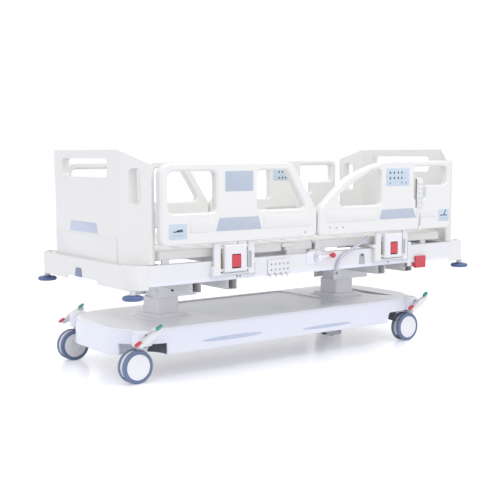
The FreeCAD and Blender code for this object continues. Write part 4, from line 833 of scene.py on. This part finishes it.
def addBoards():
    y, z, low, height, high = boardTrim["badge"]
    badge = plate("footBoardBadge", low, height, 0.0012, high, corner=0.004)
    done(seat(badge, (-boardTrim["face"], y, z), "foot"), "foot_board", "white_plastic", "badge")
    for end, sign in ends.items():
        height = boardTrim["panelTop"] - boardTrim["panelFoot"]
        panel = plate(end + "BoardPanel", boardTrim["panelWidth"], height, 0.0014, corner=0.004, rim=0.0010)
        seat(panel, (sign * boardTrim["face"], 0, boardTrim["panelFoot"] + height / 2), end)
        done(panel, end + "_board", "white_plastic", "shell")
        insert = plate(end + "CoverInsert", 0.074, 0.042, 0.0014, 0.054, corner=0.003)
        seat(insert, (sign * 1.040, 0.029, 0.4685), end)
        done(insert, "upper_frame", "bumper_plastic", "coverSlate")


addBoards()
print("board and end cover trim placed")


# Base: scoops in the skirt and arch liners
skirt = {"scoops": ((-0.430, 0.153, 0.172, 0.0095), (0.150, 0.142, 0.160, 0.0085)), "face": 0.3365,
         "linerRadius": 0.1172, "linerFoot": 0.113, "linerTop": 0.1645, "boreRadius": 0.034, "sideFace": 0.334}


def scoop(name, halfLength, halfHeight):
    deselectAll()
    bpy.ops.mesh.primitive_circle_add(vertices=48, radius=1, fill_type="NGON")
    piece = bpy.context.object
    piece.name = name
    startEdit(piece)
    bpy.ops.transform.resize(value=(halfLength, halfHeight, 1), center_override=(0, 0, 0))
    bpy.ops.mesh.extrude_region_move(TRANSFORM_OT_translate={"value": (0, 0, 0.0022)})
    pick(piece, "edges", lambda spot: spot.z > 0.002)
    bpy.ops.mesh.bevel(offset=0.0007, segments=2, affect="EDGES")
    endEdit()
    makeActive(piece)
    bpy.ops.object.shade_smooth_by_angle(angle=math.radians(40))
    return piece


def insideCover(x, y):
    # true where a point lies within the cover's plan, less its wall
    cornerX, cornerY, corner = (-0.775, 0.115, 0.219) if x < 0 else (0.647, 0.115, 0.219)
    beyondX = abs(x) > abs(cornerX)
    if beyondX and abs(y) > cornerY:
        return math.hypot(x - cornerX, abs(y) - cornerY) < corner
    return abs(y) < skirt["sideFace"]


def archLiner(name, stemX, side):
    # round wall and ceiling inside a wheel arch, trimmed to the cover's plan
    y = sides[side] * 0.312
    deselectAll()
    bpy.ops.mesh.primitive_circle_add(vertices=128, radius=skirt["linerRadius"], location=(0, 0, 0))
    piece = bpy.context.object
    piece.name = name
    startEdit(piece)
    bpy.ops.transform.translate(value=(stemX, y, skirt["linerFoot"]))
    rise = skirt["linerTop"] - skirt["linerFoot"]
    bpy.ops.mesh.extrude_region_move(TRANSFORM_OT_translate={"value": (0, 0, rise)})
    radius = skirt["linerRadius"]
    for inner in (0.108, 0.094, 0.078, 0.060, skirt["boreRadius"]):
        bpy.ops.mesh.extrude_region_move()
        bpy.ops.transform.resize(value=(inner / radius, inner / radius, 1), center_override=(stemX, y, 0))
        radius = inner
    shape = bmesh.from_edit_mesh(piece.data)
    bpy.ops.mesh.select_mode(type="FACE")
    bpy.ops.mesh.select_all(action="DESELECT")
    for face in shape.faces:
        if any(not insideCover(corner.co.x, corner.co.y) for corner in face.verts):
            face.select_set(True)
    bmesh.update_edit_mesh(piece.data)
    bpy.ops.mesh.delete(type="FACE")
    endEdit()
    applied(piece, "SOLIDIFY", thickness=0.0014, offset=0.0)
    makeActive(piece)
    bpy.ops.object.shade_smooth_by_angle(angle=math.radians(40))
    return piece


def addBaseTrim():
    for side in sides:
        # each scoop is a raised lens whose darker blue is painted shade of a groove in the skirt
        for count, (x, z, halfLength, halfHeight) in enumerate(skirt["scoops"]):
            piece = scoop(f"skirtScoopShade{count}_{side}", halfLength, halfHeight)
            seat(piece, (x, sides[side] * skirt["face"], z), side)
            done(piece, "base", "base_plastic", "scoop")
        for end, stemX in (("foot", -0.906), ("head", 0.756)):
            done(archLiner(f"{end}ArchLiner_{side}", stemX, side), "base", "chassis_paint", "liner_" + end)


addBaseTrim()
print("base trim placed")


# Side beams: hooks, bolts, the lock-out's plate and the guide tube
beamTrim = {"face": 0.456, "hookX": (-0.312, -0.277, -0.242, -0.212), "bolts": ((-0.491, 0.457), (-0.474, 0.456), (0.453, 0.455))}
guideTube = {"radius": 0.0075, "route": ((0.094, -0.438, 0.4335), (0.097, -0.460, 0.4335), (0.100, -0.4665, 0.462),
                                        (0.122, -0.4665, 0.506), (0.200, -0.4665, 0.540), (0.256, -0.4665, 0.565),
                                        (0.300, -0.4665, 0.592))}


def addBeamTrim():
    for side, sign in sides.items():
        face = sign * beamTrim["face"]
        for count, x in enumerate(beamTrim["hookX"]):
            y = sign * 0.4645
            drop = sign * 0.006
            route = ((x, y, 0.456), (x, y, 0.446), (x, y + drop * 0.3, 0.4385), (x, y + drop, 0.4385),
                     (x, y + drop * 1.6, 0.4405), (x, y + drop * 1.7, 0.4455))
            done(bentRod(f"accessoryHook{count}_{side}", 0.0017, route), "upper_frame", "steel", "hook")
        for count, (x, z) in enumerate(beamTrim["bolts"]):
            bolt = rod(f"beamBolt{count}_{side}", 0.0045, 0.0003, rim=0.0001, sides=6)
            done(seat(bolt, (x, face, z), side), "upper_frame", "steel", "black")
        stud = rod("beamStud_" + side, 0.0065, 0.006, rim=0.002)
        done(seat(stud, (0.273, face, 0.503), side), "upper_frame", "bumper_plastic", "bumper")
        ear = plate("studPlate_" + side, 0.040, 0.052, 0.002, 0.030, corner=0.005)
        done(seat(ear, (0.273, face, 0.484), side), "upper_frame", "steel", "hook")
    housing = plate("lockoutPlate", 0.104, 0.062, 0.0022, 0.092, corner=0.012, rim=0.001)
    done(seat(housing, (-0.036, -beamTrim["face"], 0.5105), "near"), "upper_frame", "column_paint", "lip")
    done(bentRod("guideTube", guideTube["radius"], guideTube["route"]), "upper_frame", "frame_paint", "conduit")
    block = plate("bracketStop", 0.013, 0.013, 0.004, corner=0.001)
    done(seat(block, (-0.607, -0.084, 0.362), "near"), "upper_frame", "bumper_plastic", "black")


addBeamTrim()
print("beam trim placed")


# Ring-headed retainers at the foot of the deck
retainer = {"x": -0.886, "places": ((0.385, 0.742), (0.300, 0.705)), "deckTop": 0.588, "radius": 0.0032,
            "ring": 0.0105, "wire": 0.0024}


def addRetainers():
    for side, sign in sides.items():
        for count, (y, top) in enumerate(retainer["places"]):
            length = top - retainer["deckTop"] - 2 * retainer["ring"]
            stem = rod("stem", retainer["radius"], length, rim=0.0008, sides=20)
            seat(stem, (retainer["x"], sign * y, retainer["deckTop"]))
            deselectAll()
            bpy.ops.mesh.primitive_torus_add(major_radius=retainer["ring"], minor_radius=retainer["wire"],
                                             major_segments=32, minor_segments=12)
            ring = bpy.context.object
            seat(ring, (retainer["x"], sign * y, top - retainer["ring"]), "foot")
            collar = rod("collar", retainer["radius"] * 2.2, 0.006, rim=0.0015, sides=24)
            seat(collar, (retainer["x"], sign * y, retainer["deckTop"]))
            piece = joined(f"retainerPost{count}_{side}", [stem, ring, collar])
            done(piece, "calf", "steel", "steel")


addRetainers()
print("retainers placed")
